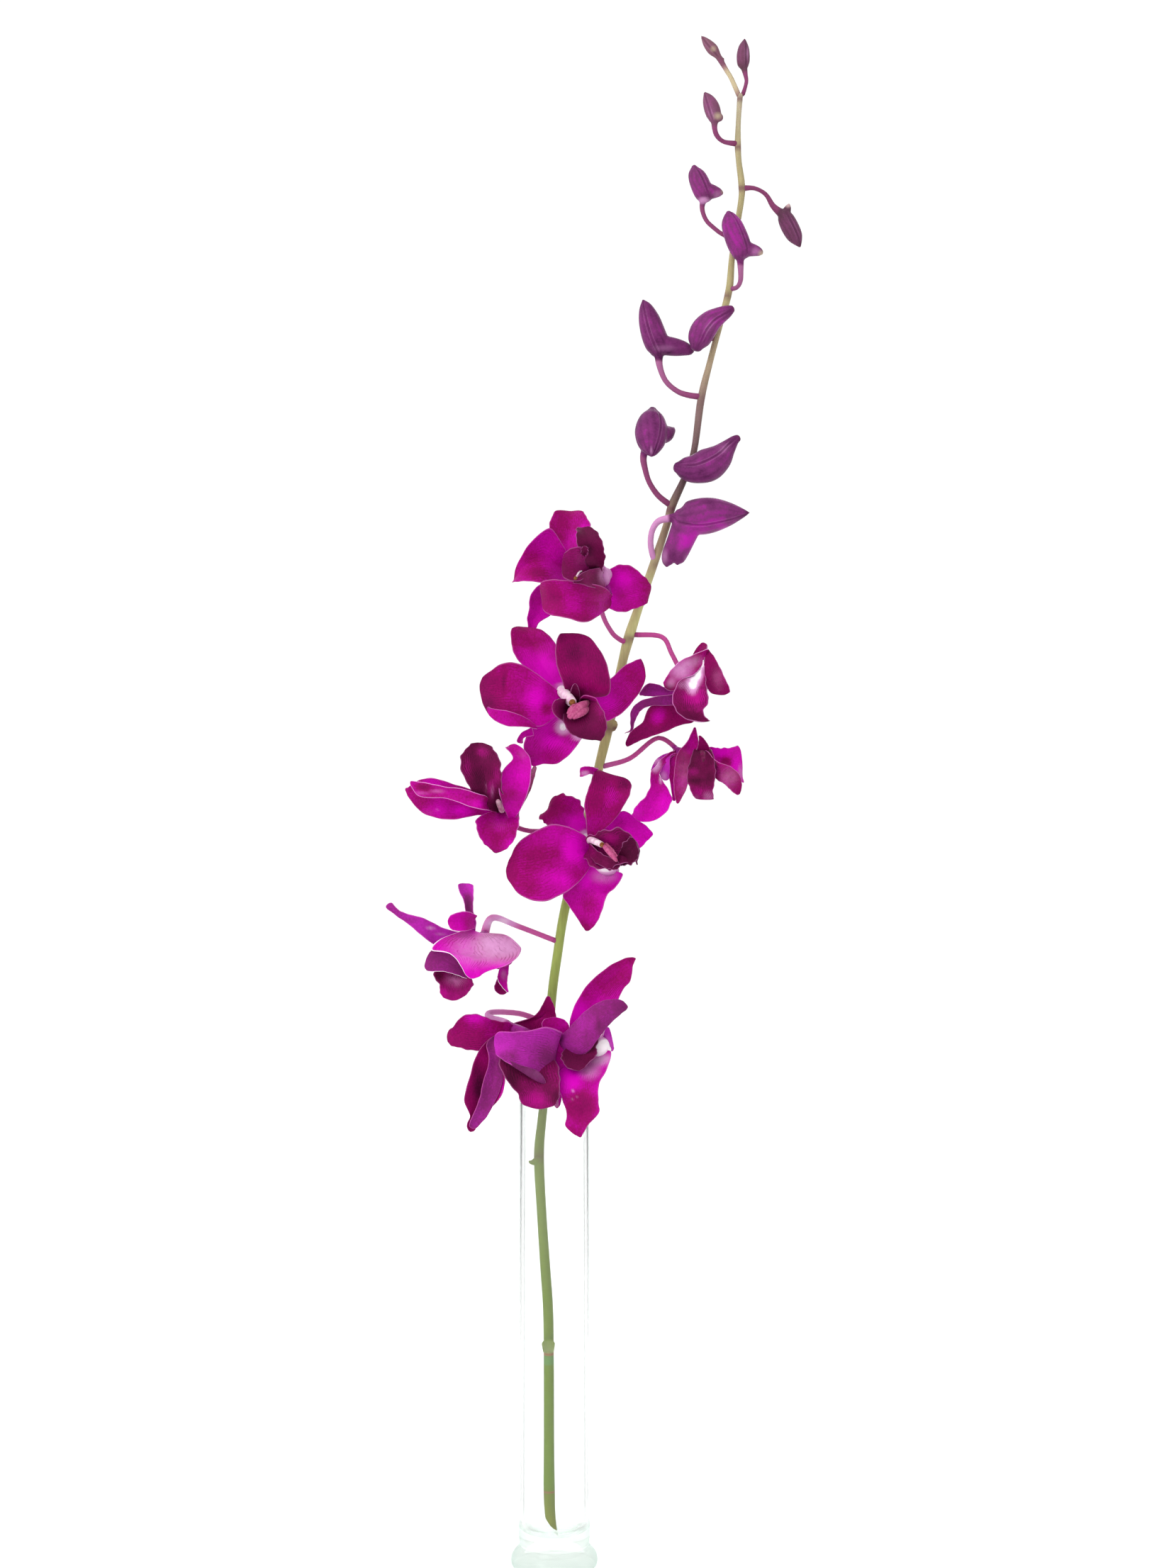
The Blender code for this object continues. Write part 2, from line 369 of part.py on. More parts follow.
# the eleven closed buds, from the top one down: each bar's points are x, z, depth and radius
BUDS = {
    1: [
        [(65.6, 594.6, 12, 0.9), (64.4, 596.2, 12, 1.5), (62.6, 598.4, 12, 2.3), (60.5, 600.8, 12, 1.9),
         (58.9, 602.8, 12, 1), (58, 603.8, 12, 0.3)],
        [(65.2, 595.3, 12, 0.9), (67.5, 591, 12, 0.9), (70, 586.8, 12, 0.9), (72.9, 580.2, 12, 0.9)],
        [(65.6, 592.8, 12, 0.8), (66.8, 594.9, 12, 0.3)],
    ],
    2: [
        [(74.8, 591.3, 12, 1.5), (74.6, 592.6, 12, 2.3), (74.6, 596, 12, 2.4), (74.8, 599.5, 12, 1.8),
         (75.2, 602.7, 12, 0.3)],
        [(74.8, 592, 12, 1.3), (75.6, 588, 12, 0.8), (75.9, 586, 12, 0.7), (75.4, 583.5, 12, 0.7),
         (74.4, 580.5, 12, 0.8)],
    ],
    3: [
        [(63.3, 570.2, 6.5, 1.8), (63.2, 572, 6.5, 2.7), (62.2, 575.5, 6.5, 2.9), (60.8, 579, 6.5, 2),
         (59.3, 581.8, 6.5, 0.3)],
        [(63.3, 571.5, 6.5, 1.8), (65.3, 571.4, 6.5, 1.5), (66.5, 571.2, 6.5, 0.7)],
        [(63.4, 571, 6.5, 1.4), (63.3, 567.5, 7, 1), (64.3, 564.3, 8.3, 0.9), (67, 562, 10.3, 0.8),
         (72, 561.2, 12, 1.1)],
    ],
    4: [
        [(90.2, 534.2, 16, 1.8), (91.3, 531.8, 16, 3), (93.2, 528, 16, 3.2), (95.4, 524, 16, 2.6),
         (97.2, 520.2, 16, 0.4)],
        [(91.2, 533, 16, 2), (92.3, 536, 16, 1.4), (92.7, 537.4, 16, 0.5)],
        [(73.5, 543.6, 12, 1.2), (79, 543.6, 13.2, 0.8), (83.5, 541.2, 14.8, 0.8),
         (86.5, 536.5, 15.8, 1.1), (90.5, 533, 16, 1.8)],
    ],
    5: [
        [(60, 539.2, 16.5, 2.6), (59, 541.5, 16.5, 3.6), (57.3, 546, 16.5, 3.8), (55.6, 550, 16.5, 2.7),
         (55, 553, 16.5, 0.4)],
        [(60, 542, 16.5, 3), (63.5, 542, 16.5, 2.1), (65.7, 541.8, 16.5, 1.5), (66.5, 541.7, 16.5, 0.6)],
        [(59, 540, 16.5, 1.3), (58.4, 535.5, 16.3, 0.9), (60, 531, 15.8, 0.8), (63, 528, 15, 0.8),
         (66, 525.7, 14, 0.8), (71, 523.3, 13, 0.9)],
    ],
    6: [
        [(74, 516.8, 5.5, 2.8), (73.6, 519, 5.5, 4), (72, 524, 5.5, 4.5), (69.8, 530, 5.5, 3.9),
         (68.9, 533.3, 5.5, 2), (68.5, 534.8, 5.5, 0.4)],
        [(75, 519.8, 5.5, 3.2), (79.3, 519, 5.5, 2.3), (81.5, 518.2, 5.5, 1.5), (82.2, 517.8, 5.5, 0.6)],
        [(73.3, 518.5, 5.5, 1.6), (73.6, 512, 6.5, 1.1), (73.5, 507, 8, 0.9), (72, 504.4, 10, 0.8),
         (69.3, 503.8, 12, 1)],
    ],
    7: [
        [(41.5, 478.5, 14, 3), (40.8, 481, 14, 4.6), (39.2, 486, 14, 5), (37.4, 492, 14, 4.3),
         (36, 496.8, 14, 2.6), (35, 499.6, 14, 0.4)],
        [(41.5, 481.8, 14, 4), (47, 481, 14, 3.7), (51, 480.3, 14, 3), (54, 479.4, 14, 1.8),
         (54.9, 479.2, 14, 0.7)],
        [(41.2, 480, 14, 2), (41.6, 473.5, 13.8, 1.2), (44, 467.5, 13.3, 1), (48.5, 463.5, 12.8, 1),
         (53, 461.9, 12.3, 1.1), (58.3, 461.2, 12, 1.2)],
    ],
    8: [
        [(56, 480.6, 4.5, 2.4), (57, 483.5, 4.5, 4.5), (58.8, 487.5, 4.5, 5.1), (61.8, 491, 4.5, 4.5),
         (65.2, 493.3, 4.5, 3.3), (68.4, 494.9, 4.5, 2.2), (70.9, 496.8, 4.5, 0.5)],
        [(57, 483, 5, 2), (60, 480.5, 8.5, 1.4), (64.5, 480.5, 12, 1.2)],
    ],
    9: [
        [(38.8, 456.3, 12, 1.6), (38.6, 453, 11, 4.9), (38.3, 448, 9, 6.6), (38.3, 443, 6.5, 5.6),
         (38.5, 439.5, 4.5, 2.8), (38.5, 437.6, 3.5, 0.4)],
        [(40, 447, 9.5, 5), (44, 446.8, 11, 3.8), (46.4, 448, 12, 1.9), (47.3, 448.9, 12.5, 0.6)],
        [(36.5, 442, 10, 1.6), (35.2, 437.5, 9.5, 1.3), (35.8, 433, 10, 1.1), (37.5, 427.5, 11, 1),
         (41, 422.3, 12, 1.1), (46, 418.3, 12, 1.2)],
    ],
    10: [
        [(46.9, 433.8, 4, 1), (49.2, 433.3, 4, 3.4), (54, 432.8, 4, 5.7), (60, 433.7, 4, 6.8),
         (65, 437, 4, 5.8), (68.3, 441, 4, 3.5), (71.3, 443.8, 4, 1.6), (73.3, 445.8, 4, 0.5)],
        [(60, 433, 6, 2), (56.5, 437, 10, 1.3), (53, 436, 13, 1.2)],
    ],
    11: [
        [(48.8, 414.5, 4.5, 2.6), (51.5, 414, 4.5, 5.8), (57, 414, 4.5, 7.3), (63, 414.6, 4.5, 6.9),
         (69, 415, 4.5, 4.9), (74, 415.3, 4.5, 2.3), (77.1, 415.5, 4.5, 0.3)],
        [(51.5, 411, 4.5, 5), (48, 404, 4.5, 3.8), (45.6, 399, 4.5, 3.2), (44.6, 395.8, 4.5, 2.2),
         (44.3, 394.4, 4.5, 0.8)],
        [(53, 410, 4.5, 5.2), (51, 404, 4.5, 4.2), (49.6, 399.5, 4.5, 3.4), (48.8, 396.5, 4.5, 2.4),
         (48.5, 395.2, 4.5, 0.8)],
        [(50, 414, 4.5, 1.9), (45, 413.2, 5, 1.4), (41, 412, 6, 1.2), (38.7, 408.5, 7.5, 1.1),
         (38, 404, 9, 1.1), (38.6, 399.5, 10.5, 1.1), (40, 395.8, 12.5, 1.2)],
    ],
}

# the stem, from below its slanted cut to the fork at its top: x, z and radius
STEM = [
    (-0.4, 8, 2.05), (-1.6, 20, 2.05), (-2, 29.6, 2.2), (-2.1, 50, 2.05), (-2.2, 80, 2.05),
    (-2.5, 100, 2.05), (-3.7, 117, 2.05), (-5.2, 138, 2), (-6.4, 160, 2.2), (-5.2, 174, 1.9),
    (-3.4, 190, 1.85), (-1.2, 222, 1.85), (1.1, 240, 1.85), (4.4, 260, 1.85), (11.8, 289, 1.85),
    (17.6, 315, 1.85), (21.2, 330, 2), (26.6, 355, 1.8), (29.4, 366, 2.1), (33.3, 378, 1.75),
    (39.2, 395, 1.7), (44.2, 410, 1.5), (46.6, 418.5, 1.7), (51.4, 429, 1.35), (55.2, 440, 1.3),
    (58, 460.5, 1.5), (61.5, 475, 1.25), (65.2, 489, 1.25), (69, 503.3, 1.45), (70.4, 518, 1.2),
    (73.7, 538, 1.2), (74, 545, 1.35), (72.9, 554, 1.15), (72.5, 561, 1.25), (72.7, 570, 1),
    (73.4, 580.5, 1.15),
]
STEM_TIP = (1.2, 12.3)
STEM_CUT_LEFT = (-3.8, 19.5)
LEAN = [(13, -5), (188, 9.2), (300, 12), (410, 12), (460, 11), (520, 8), (604, 2)]
BUD_ZERO = 12.0

# dry bracts at the stem's nodes: three rungs each, as for a petal
BRACTS = [
    blade((-7.6, 160, -5.2, 160.4, -2), (-9.6, 158.6, -7.4, 157, -2.6), (-11, 158.4, -10.4, 157.2, -3),
          flap=True),
    blade((22.2, 328.6, 24, 329.4, -0.5), (22.6, 331.8, 25, 331.4, -1), (23, 333.6, 24.6, 333.4, -1.4),
          flap=True),
    blade((-4.4, 84, -0.2, 84, -1.6), (-4.9, 87, 0.2, 87, -2.6), (-4.9, 89, 0.2, 89, -3), flap=True),
]

# colours, roughness and metallic value of each finish
FINISHES = {
    "glass": ((0.82, 0.92, 0.88, 1), 0.03, 0),
    "stem": ((0.30, 0.33, 0.12, 1), 0.55, 0),
    "petal": ((0.52, 0.005, 0.30, 1), 0.5, 0),
    "lip": ((0.13, 0.004, 0.05, 1), 0.5, 0),
    "column": ((0.85, 0.72, 0.78, 1), 0.45, 0),
    "bud": ((0.26, 0.035, 0.17, 1), 0.5, 0),
}


def clear_scene():
    for thing in list(bpy.data.objects):
        bpy.data.objects.remove(thing, do_unlink=True)


def new_collection(name):
    collection = bpy.data.collections.new(name)
    bpy.context.scene.collection.children.link(collection)
    return collection


def new_finish(name):
    """Make one object's own material from the named finish."""
    finish = bpy.data.materials.new(name)
    finish.use_nodes = True
    shader = finish.node_tree.nodes["Principled BSDF"]
    colour, roughness, metallic = FINISHES[name]
    shader.inputs["Base Color"].default_value = colour
    shader.inputs["Roughness"].default_value = roughness
    shader.inputs["Metallic"].default_value = metallic
    if name == "glass":
        shader.inputs["Transmission Weight"].default_value = 1.0
    return finish


def new_object(name, mesh):
    thing = bpy.data.objects.new(name, mesh)
    workbench.objects.link(thing)
    return thing


def evaluated_mesh(thing):
    bpy.context.view_layer.update()
    return bpy.data.meshes.new_from_object(thing.evaluated_get(bpy.context.evaluated_depsgraph_get()))


def replace_mesh(thing):
    """Apply every modifier of an object, or turn a curve into a welded mesh, as a new object."""
    mesh = evaluated_mesh(thing)
    shape = bmesh.new()
    shape.from_mesh(mesh)
    bmesh.ops.remove_doubles(shape, verts=shape.verts, dist=MERGE)
    shape.to_mesh(mesh)
    shape.free()
    result = new_object(thing.name + "_mesh", mesh)
    result.matrix_world = thing.matrix_world
    bpy.data.objects.remove(thing, do_unlink=True)
    return result


def bar(points, radii, corners=2, fineness=1.0):
    """A round bar along a smooth curve through the points, with a radius given at each."""
    steps = round(fineness * (len(points) - 1))
    curve = bpy.data.curves.new("bar", "CURVE")
    curve.dimensions = "3D"
    curve.bevel_depth = 1.0
    curve.bevel_resolution = corners
    curve.use_fill_caps = True
    spline = curve.splines.new("POLY")
    spline.points.add(steps)
    places = [np.array(point) for point in points]
    for step, point in enumerate(spline.points):
        place = through(places, step / steps)
        point.co = (*(place * MM), 1)
        point.radius = through(radii, step / steps) * MM
    return replace_mesh(new_object("bar", curve))


def place_in(plan, x, z, y):
    """Place a point of a flower, whose depths are counted from the flower's own and stretched."""
    return seen(x, z, plan["depth"] + plan["gain"] * y)


def edges_of(petal, plan):
    left = [place_in(plan, x, z, y) for x, z, _, _, y in petal["rungs"]]
    right = [place_in(plan, x, z, y) for _, _, x, z, y in petal["rungs"]]
    return left, right


def core_of(plan):
    return [place_in(plan, *point) for point in plan["core"]]


def nearest_to(path, point, samples):
    """Find where along a path a point is nearest."""
    return min(samples, key=lambda t: np.linalg.norm(through(path, t) - point))


def rooted(left, right, core, core_radii):
    """Add a rung inside the flower's core, so that the petal grows from it."""
    root = (left[0] + right[0]) / 2
    nearest = nearest_to(core, root, np.linspace(*ROOT_STRETCH, SAMPLES))
    radius = through(core_radii, nearest)
    side = right[0] - left[0]
    side = side / np.linalg.norm(side) * radius * ROOT_SHARE
    middle = through(core, nearest)
    away = np.linalg.norm(root - middle)
    place = middle + (root - middle) * min(radius * ROOT_REACH / away, 1)
    return [place - side, *left], [place + side, *right]


def surface(petal, left, right, rows, columns, margin):
    """Work out the rows of points of a cupped, waved petal between its two edges."""
    grid = []
    for row in range(rows + 1):
        s = row / rows
        low, high = through(left, s), through(right, s)
        along = sum(through(edge, min(s + STEP, 1)) - through(edge, max(s - STEP, 0))
                    for edge in (left, right))
        along = along / np.linalg.norm(along)
        side = (high - low) / 2
        half = np.linalg.norm(side)
        face = np.cross(side, along)
        face = face / np.linalg.norm(face)
        middle = (low + high) / 2 + along * margin * ((row == rows) - (row == 0))
        tilt = petal["tilts"][0] + (petal["tilts"][1] - petal["tilts"][0]) * s
        line = []
        for column in range(columns + 1):
            v = 2 * column / columns - 1
            cup = petal["cups"][v > 0] * half * abs(v) ** CUP_POWER
            ripple = math.sin(WAVE_TURNS * math.tau * s + WAVE_SHIFT * np.sign(v)) * abs(v) ** 3
            lift = cup + petal["wave"] * ripple * min(1, WAVE_TURNS * s)
            point = middle + side * v * (1 + margin / half) + face * lift
            line.append(point + np.array([0, tilt * v, 0]))
        grid.append(line)
    return grid


def petal_solid(petal, left, right, columns, thickness, margin=0.0):
    rows = len(left) - 1
    grid = surface(petal, left, right, rows, columns, margin)
    shape = bmesh.new()
    bmesh.ops.create_grid(shape, x_segments=columns, y_segments=rows, size=1)
    for point in shape.verts:
        row = round((point.co.y + 1) / 2 * rows)
        column = round((point.co.x + 1) / 2 * columns)
        point.co = grid[row][column] * MM
    bmesh.ops.triangulate(shape, faces=shape.faces)
    mesh = bpy.data.meshes.new("petal")
    shape.to_mesh(mesh)
    shape.free()
    thing = new_object("petal", mesh)
    shell = thing.modifiers.new("thickness", "SOLIDIFY")
    shell.thickness = (thickness + 2 * margin) * MM
    shell.offset = 0
    return replace_mesh(thing)


def largest_body(mesh):
    """Drop the loose scraps that a cut leaves, and keep the largest body."""
    shape = bmesh.new()
    shape.from_mesh(mesh)
    bmesh.ops.remove_doubles(shape, verts=shape.verts, dist=MERGE)
    bmesh.ops.dissolve_degenerate(shape, edges=shape.edges, dist=MERGE)
    bodies = []
    waiting = set(shape.faces)
    while waiting:
        front = [waiting.pop()]
        body = set(front)
        while front:
            linked = {other for edge in front.pop().edges for other in edge.link_faces} - body
            body |= linked
            front.extend(linked)
        waiting -= body
        bodies.append(body)
    bodies.sort(key=len)
    scraps = [face for body in bodies[:-1] for face in body]
    bmesh.ops.delete(shape, geom=scraps, context="FACES")
    bmesh.ops.dissolve_limit(shape, angle_limit=math.radians(FLAT), verts=shape.verts, edges=shape.edges)
    bmesh.ops.triangulate(shape, faces=shape.faces)
    shape.to_mesh(mesh)
    shape.free()


def fuse(name, pieces, cutters=()):
    """Join pieces into one body, cut it clear of its neighbours and keep it without scraps."""
    group = new_collection("group")
    first, *others = pieces
    for piece in others:
        workbench.objects.unlink(piece)
        group.objects.link(piece)
    if others:
        union = first.modifiers.new("union", "BOOLEAN")
        union.operation = "UNION"
        union.operand_type = "COLLECTION"
        union.collection = group
        union.solver = SOLVER
    for cutter in cutters:
        cut = first.modifiers.new("cut", "BOOLEAN")
        cut.operation = "DIFFERENCE"
        cut.object = cutter
        cut.solver = SOLVER
    mesh = evaluated_mesh(first)
    largest_body(mesh)
    for piece in pieces:
        bpy.data.objects.remove(piece, do_unlink=True)
    bpy.data.collections.remove(group)
    return new_object(name, mesh)


def keep(thing, name, finish):
    """Name a finished piece, give it its own material and move it to the object's collection."""
    thing.name = name
    thing.data.name = name
    thing.data.materials.clear()
    thing.data.materials.append(new_finish(finish))
    thing.data.shade_smooth()
    thing.data.set_sharp_from_angle(angle=SMOOTH_ANGLE)
    workbench.objects.unlink(thing)
    parts.objects.link(thing)
    return thing


def make_vase():
    """Turn the vase from one profile, from the inner floor over the rim and down to the foot."""
    inner = VASE_RADIUS - VASE_WALL
    profile = [(0, VASE_FLOOR)]
    for step in range(CORNER_STEPS + 1):
        angle = math.pi / 2 * step / CORNER_STEPS
        radius = inner - VASE_CORNER * (1 - math.sin(angle))
        profile.append((radius, VASE_FLOOR + VASE_CORNER * (1 - math.cos(angle))))
    rim = VASE_WALL / 2
    for step in range(RIM_STEPS + 1):
        angle = math.pi * (1 - step / RIM_STEPS)
        height = VASE_HEIGHT - rim * (1 - math.sin(angle))
        profile.append((VASE_RADIUS - rim + rim * math.cos(angle), height))
    profile += [*FOOT_PROFILE, (0, 0)]
    mesh = bpy.data.meshes.new("vase")
    shape = bmesh.new()
    line = [shape.verts.new((radius * MM, 0, height * MM)) for radius, height in profile]
    for start, end in zip(line, line[1:]):
        shape.edges.new((start, end))
    shape.to_mesh(mesh)
    shape.free()
    vase = new_object("vase", mesh)
    turn = vase.modifiers.new("turn", "SCREW")
    turn.steps = turn.render_steps = VASE_SIDES
    turn.use_merge_vertices = True
    turn.merge_threshold = MERGE
    return keep(vase, "vase", "glass")


def lean(z):
    """How far back the stem lies at a height: it leans on the vase's rim and nods at its tip."""
    return float(np.interp(z, *zip(*LEAN)))


def stem_bar(margin=0.0):
    points = [seen(x, z, lean(z)) for x, z, _ in STEM]
    return bar(points, [radius + margin for _, _, radius in STEM])


def make_stem():
    """Round stem with a slanted cut at its foot and a few dry bracts."""
    stem = stem_bar()
    tip, left = seen(*STEM_TIP, lean(STEM_TIP[1])), seen(*STEM_CUT_LEFT, lean(STEM_CUT_LEFT[1]))
    along = tip - left
    outward = np.array([along[2], 0, -along[0]])
    shape = bmesh.new()
    shape.from_mesh(stem.data)
    everything = shape.verts[:] + shape.edges[:] + shape.faces[:]
    bmesh.ops.bisect_plane(shape, geom=everything, plane_co=tip * MM, plane_no=outward, clear_outer=True)
    bmesh.ops.holes_fill(shape, edges=[edge for edge in shape.edges if edge.is_boundary])
    shape.to_mesh(stem.data)
    shape.free()
    bracts = []
    for bract in BRACTS:
        node = {"depth": lean(bract["rungs"][0][1]), "gain": 1}
        bracts.append(petal_solid(bract, *edges_of(bract, node), NARROW_CELLS, PETAL_THICKNESS))
    return keep(fuse("stem", [stem, *bracts]), "stem", "stem")


def pedicel_of(plan, core):
    """The flower's own stalk, from inside the stem to inside its core."""
    x, z = plan["pedicel"][-1]
    end = min((through(core, t) for t in np.linspace(0, 1, SAMPLES)),
              key=lambda point: np.hypot(*(point - seen(x, z, point[1]))[::2]))
    start = lean(plan["pedicel"][0][1])
    last = len(plan["pedicel"])
    depths = [start + (end[1] - start) * step / last for step in range(last)]
    return [seen(x, z, y) for (x, z), y in zip(plan["pedicel"], depths)] + [end]


def bloom_pieces(plan, margin=0.0):
    """The petals, core and pedicel of one flower, grown by a margin when they are used to cut."""
    core = core_of(plan)
    radii = [radius + margin for radius in plan["core_radii"]]
    stalk = [radius + margin for radius in PEDICEL_RADII]
    pieces = [bar(core, radii), bar(pedicel_of(plan, core), stalk, 1, 1.5)]
    for petal in plan["tepals"]:
        left, right = edges_of(petal, plan)
        if not petal["flap"]:
            left, right = rooted(left, right, core, plan["core_radii"])
        widest = max(np.linalg.norm(low - high) for low, high in zip(left, right))
        cells = CROSS_CELLS if widest > NARROW else NARROW_CELLS
        pieces.append(petal_solid(petal, left, right, cells, PETAL_THICKNESS, margin))
    return pieces


def column_bar(plan, margin=0.0):
    """The flower's pale column, from its core to its cap over the lip."""
    core = core_of(plan)
    points = [place_in(plan, *point) for point in plan["column"]]
    root = through(core, nearest_to(core, points[0], np.linspace(0, 1, SAMPLES)))
    radii = [COLUMN_RADIUS + margin] * len(points) + [COLUMN_RADIUS * COLUMN_TAPER + margin]
    return bar([root, *points], radii, 1)


def make_bloom(letter, plan, stem_room):
    node = f"bloom_{letter}"
    keep(fuse("tepals", bloom_pieces(plan), [stem_room]), f"{node}_tepals", "petal")
    room = fuse("room", bloom_pieces(plan, GAP))
    column = fuse("column", [column_bar(plan)], [room])
    keep(column, f"{node}_column", "column")
    column_room = column_bar(plan, GAP)
    lobes = []
    for lobe in plan["lip"]:
        left, right = rooted(*edges_of(lobe, plan), core_of(plan), plan["core_radii"])
        lobes.append(petal_solid(lobe, left, right, LIP_CELLS, LIP_THICKNESS))
    keep(fuse("lip", lobes, [room, column_room]), f"{node}_lip", "lip")
    for cutter in (room, column_room):
        bpy.data.objects.remove(cutter, do_unlink=True)


def make_bud(number, bars, stem_room):
    """A closed bud: its body, its spur and the pedicel that carries it."""
    pieces = []
    for rank, points in enumerate(bars):
        places = [seen(x, z, y - BUD_ZERO + lean(z)) for x, z, y, _ in points]
        corners = 1 if rank == len(bars) - 1 else 2
        pieces.append(bar(places, [radius for _, _, _, radius in points], corners))
    keep(fuse("bud", pieces, [stem_room]), f"bud_{number}", "bud")


clear_scene()
parts = new_collection("dendrobium_orchid_in_vase")
workbench = new_collection("workbench")
make_vase()
make_stem()
stem_space = stem_bar(GAP)
for bloom_letter, bloom_plan in BLOOMS.items():
    make_bloom(bloom_letter, bloom_plan, stem_space)
for bud_number, bud_bars in BUDS.items():
    make_bud(bud_number, bud_bars, stem_space)
bpy.data.objects.remove(stem_space, do_unlink=True)
bpy.data.collections.remove(workbench)
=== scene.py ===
import math

import bmesh
import bpy
import numpy as np
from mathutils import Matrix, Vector


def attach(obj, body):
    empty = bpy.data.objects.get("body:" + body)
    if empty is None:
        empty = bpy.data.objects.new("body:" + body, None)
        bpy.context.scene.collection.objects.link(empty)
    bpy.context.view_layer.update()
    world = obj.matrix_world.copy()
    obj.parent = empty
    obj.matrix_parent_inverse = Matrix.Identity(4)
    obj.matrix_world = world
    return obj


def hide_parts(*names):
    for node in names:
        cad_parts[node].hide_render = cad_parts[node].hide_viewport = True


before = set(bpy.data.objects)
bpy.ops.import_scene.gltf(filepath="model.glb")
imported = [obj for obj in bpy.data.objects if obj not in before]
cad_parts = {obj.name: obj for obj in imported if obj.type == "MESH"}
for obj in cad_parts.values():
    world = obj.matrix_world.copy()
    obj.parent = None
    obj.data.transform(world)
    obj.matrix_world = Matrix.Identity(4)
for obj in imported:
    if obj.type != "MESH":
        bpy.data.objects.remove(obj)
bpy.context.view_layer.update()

# A dendrobium orchid spray standing in a slim clear glass vase, seen from the front. Lengths are in
# millimetres and become metres when a mesh is made. X runs to the right, Z up and Y away from the front.

MM = 0.001
MERGE = 0.000001
SURFACE = "surface"

# the front viewpoint, from which the spray's outlines were measured
VIEWER = np.array([13.3, -900.0, 308.3])
LENS = 52.31
SENSOR = 36.0
NEAREST_SEEN = 0.01

# the studio, in metres: a light's name, place, size and power, and where the lights aim
FLOOR_RADIUS = 6.0
FLOOR_SIDES = 64
FLOOR_WHITE = (0.97, 0.97, 0.97, 1)
SKY = 1.04
SKY_BRIGHTEST = (-0.5, -0.62, 0.6)
SKY_GLOW = 1.5
SKY_FALLOFF = 1.5
SKY_BASE = 0.56
LIGHTS = [
    ("key", (-0.9, -1.1, 1.2), 0.8, 5.0),
    ("back", (0.3, 1.2, 0.9), 1.0, 5.0),
]
LIT_PLACE = Vector((0.01, 0, 0.32))

# the vase
VASE_RADIUS = 14.0
VASE_WALL = 1.6
VASE_HEIGHT = 188.0
VASE_FLOOR = 13.6
VASE_CORNER = 6.0
VASE_CREASE = math.radians(60)
# the foot's radius and height, from the waist down
FOOT_PROFILE = [(14, 11), (13.7, 8.8), (14.6, 7), (16.4, 4.8), (17, 3), (16.9, 1), (16.1, 0)]
VASE_SIDES = 96
CORNER_STEPS = 10
RIM_STEPS = 10
FOOT_STEPS = 4

# the petals: depths are stretched by the gain, and a root reaches into its flower's core
PETAL_THICKNESS = 0.45
LIP_THICKNESS = 0.5
GAIN = 1.8
CELLS_ACROSS = 14
CELLS_A_RUNG = 5
ROOT_SHARE = 0.5
ROOT_REACH = 0.4
ROOT_STRETCH = (0.15, 0.85)
CUP_POWER = 1.8
STEP = 0.02
SAMPLES = 21
TIP_ROUND = 0.35
TIP_ROUND_MOST = 0.8
MIDRIB_DEPTH = 0.3
MIDRIB_WIDTH = 0.1
# waves, frills and frays grow towards a petal's edge, and frills and midribs with its half width
EDGE_POWER = 3
WAVE_TURNS = 3
WAVE_SHIFT = 1.7
EDGE_WAVE = 0.35
FRILL_TURNS = (2.3, 5.1)
FRAY_TURNS = (8.7, 5.3)
FRAY_POWER = 4
FULL_HALF_WIDTH = 8

# the flowers' columns, their caps and their stalks
COLUMN_RADIUS = 1.5
COLUMN_TAPER = 0.9
CAP_LEAST_RADIUS = 0.5
CAP_SHARE = 0.45
CAP_START = 0.4
CAP_LENGTH = 0.7
CAP_TAPER = 0.85
PEDICEL_RADII = (1.15, 1.05, 1.1, 1.7)

# round bars, and the bodies that they merge into
BAR_SIDES = 20
RINGS_A_SPAN = 6
LEAST_RADIUS = 0.05
DOME_STEPS = 5
DOME = 0.6
FLESH_VOXEL = 0.4
BUD_VOXEL = 0.38
FLESH_SMOOTHING = 4
SMOOTHING_LOSS = 0.15

# how far the colours of cores and buds reach into those of their stalks
FLESH_BLEND = 1.5
FLESH_TONE = 0.6
BUD_BLEND = 1.2
# where along a flower's stalk its dark foot ends, where along a bud's stalk and a bud their dark ends
# begin, and how dark they are
STALK_FOOT = 0.06
STALK_FOOT_DARKNESS = 0.8
BUD_STALK_FOOT = 0.88
BUD_STALK_FOOT_DARKNESS = 0.6
BUD_TIP = 0.9
BUD_TIP_DARKNESS = 0.4

# the seams of buds with a painted highlight on the skin beside each, and their veins
SEAMS = 3
SEAM_DEPTH = 0.3
SEAM_SHARE = 0.1
SEAM_WIDTH = 0.45
# where the painted highlight beside each seam lies, how wide it is and how strong
RIDGE_PLACE = 1.6 * SEAM_WIDTH
RIDGE_WIDTH = 0.5 * SEAM_WIDTH
RIDGE_HIGHLIGHT = 0.2
BODY_SKIN = 0.8
# a painted glow that lightens a bud's body where it swells, and a shift of its whole tone
BODY_GLOW = 0.2
BODY_TONE = -0.1
BUD_VEINS = 13
BUD_VEIN_BENDS = 9

# the rings on the stem
NODE_WIDTH = 1.3
NODE_DARKNESS = 0.7
SHEATH_WIDTH = 1.6
SHEATH_PALENESS = 0.6


def pair(value):
    """Two values, or one that stands for both."""
    return value if isinstance(value, tuple) else (value, value)


def between(ends, share):
    """A value on the way from the first of two ends to the second."""
    return ends[0] + (ends[1] - ends[0]) * share


def limited(values):
    """Keep values between 0 and 1."""
    return np.clip(values, 0, 1)


def seen(x, z, y):
    """Place a point that shows at x and z from the front and lies y behind the vase's axis."""
    point = np.array([x, 0.0, z])
    return VIEWER + (point - VIEWER) * (1 - y / VIEWER[1])


def shown(point):
    """Where a point shows from the front, as x and z."""
    share = VIEWER[1] / (VIEWER[1] - point[1])
    return (VIEWER + (point - VIEWER) * share)[[0, 2]]


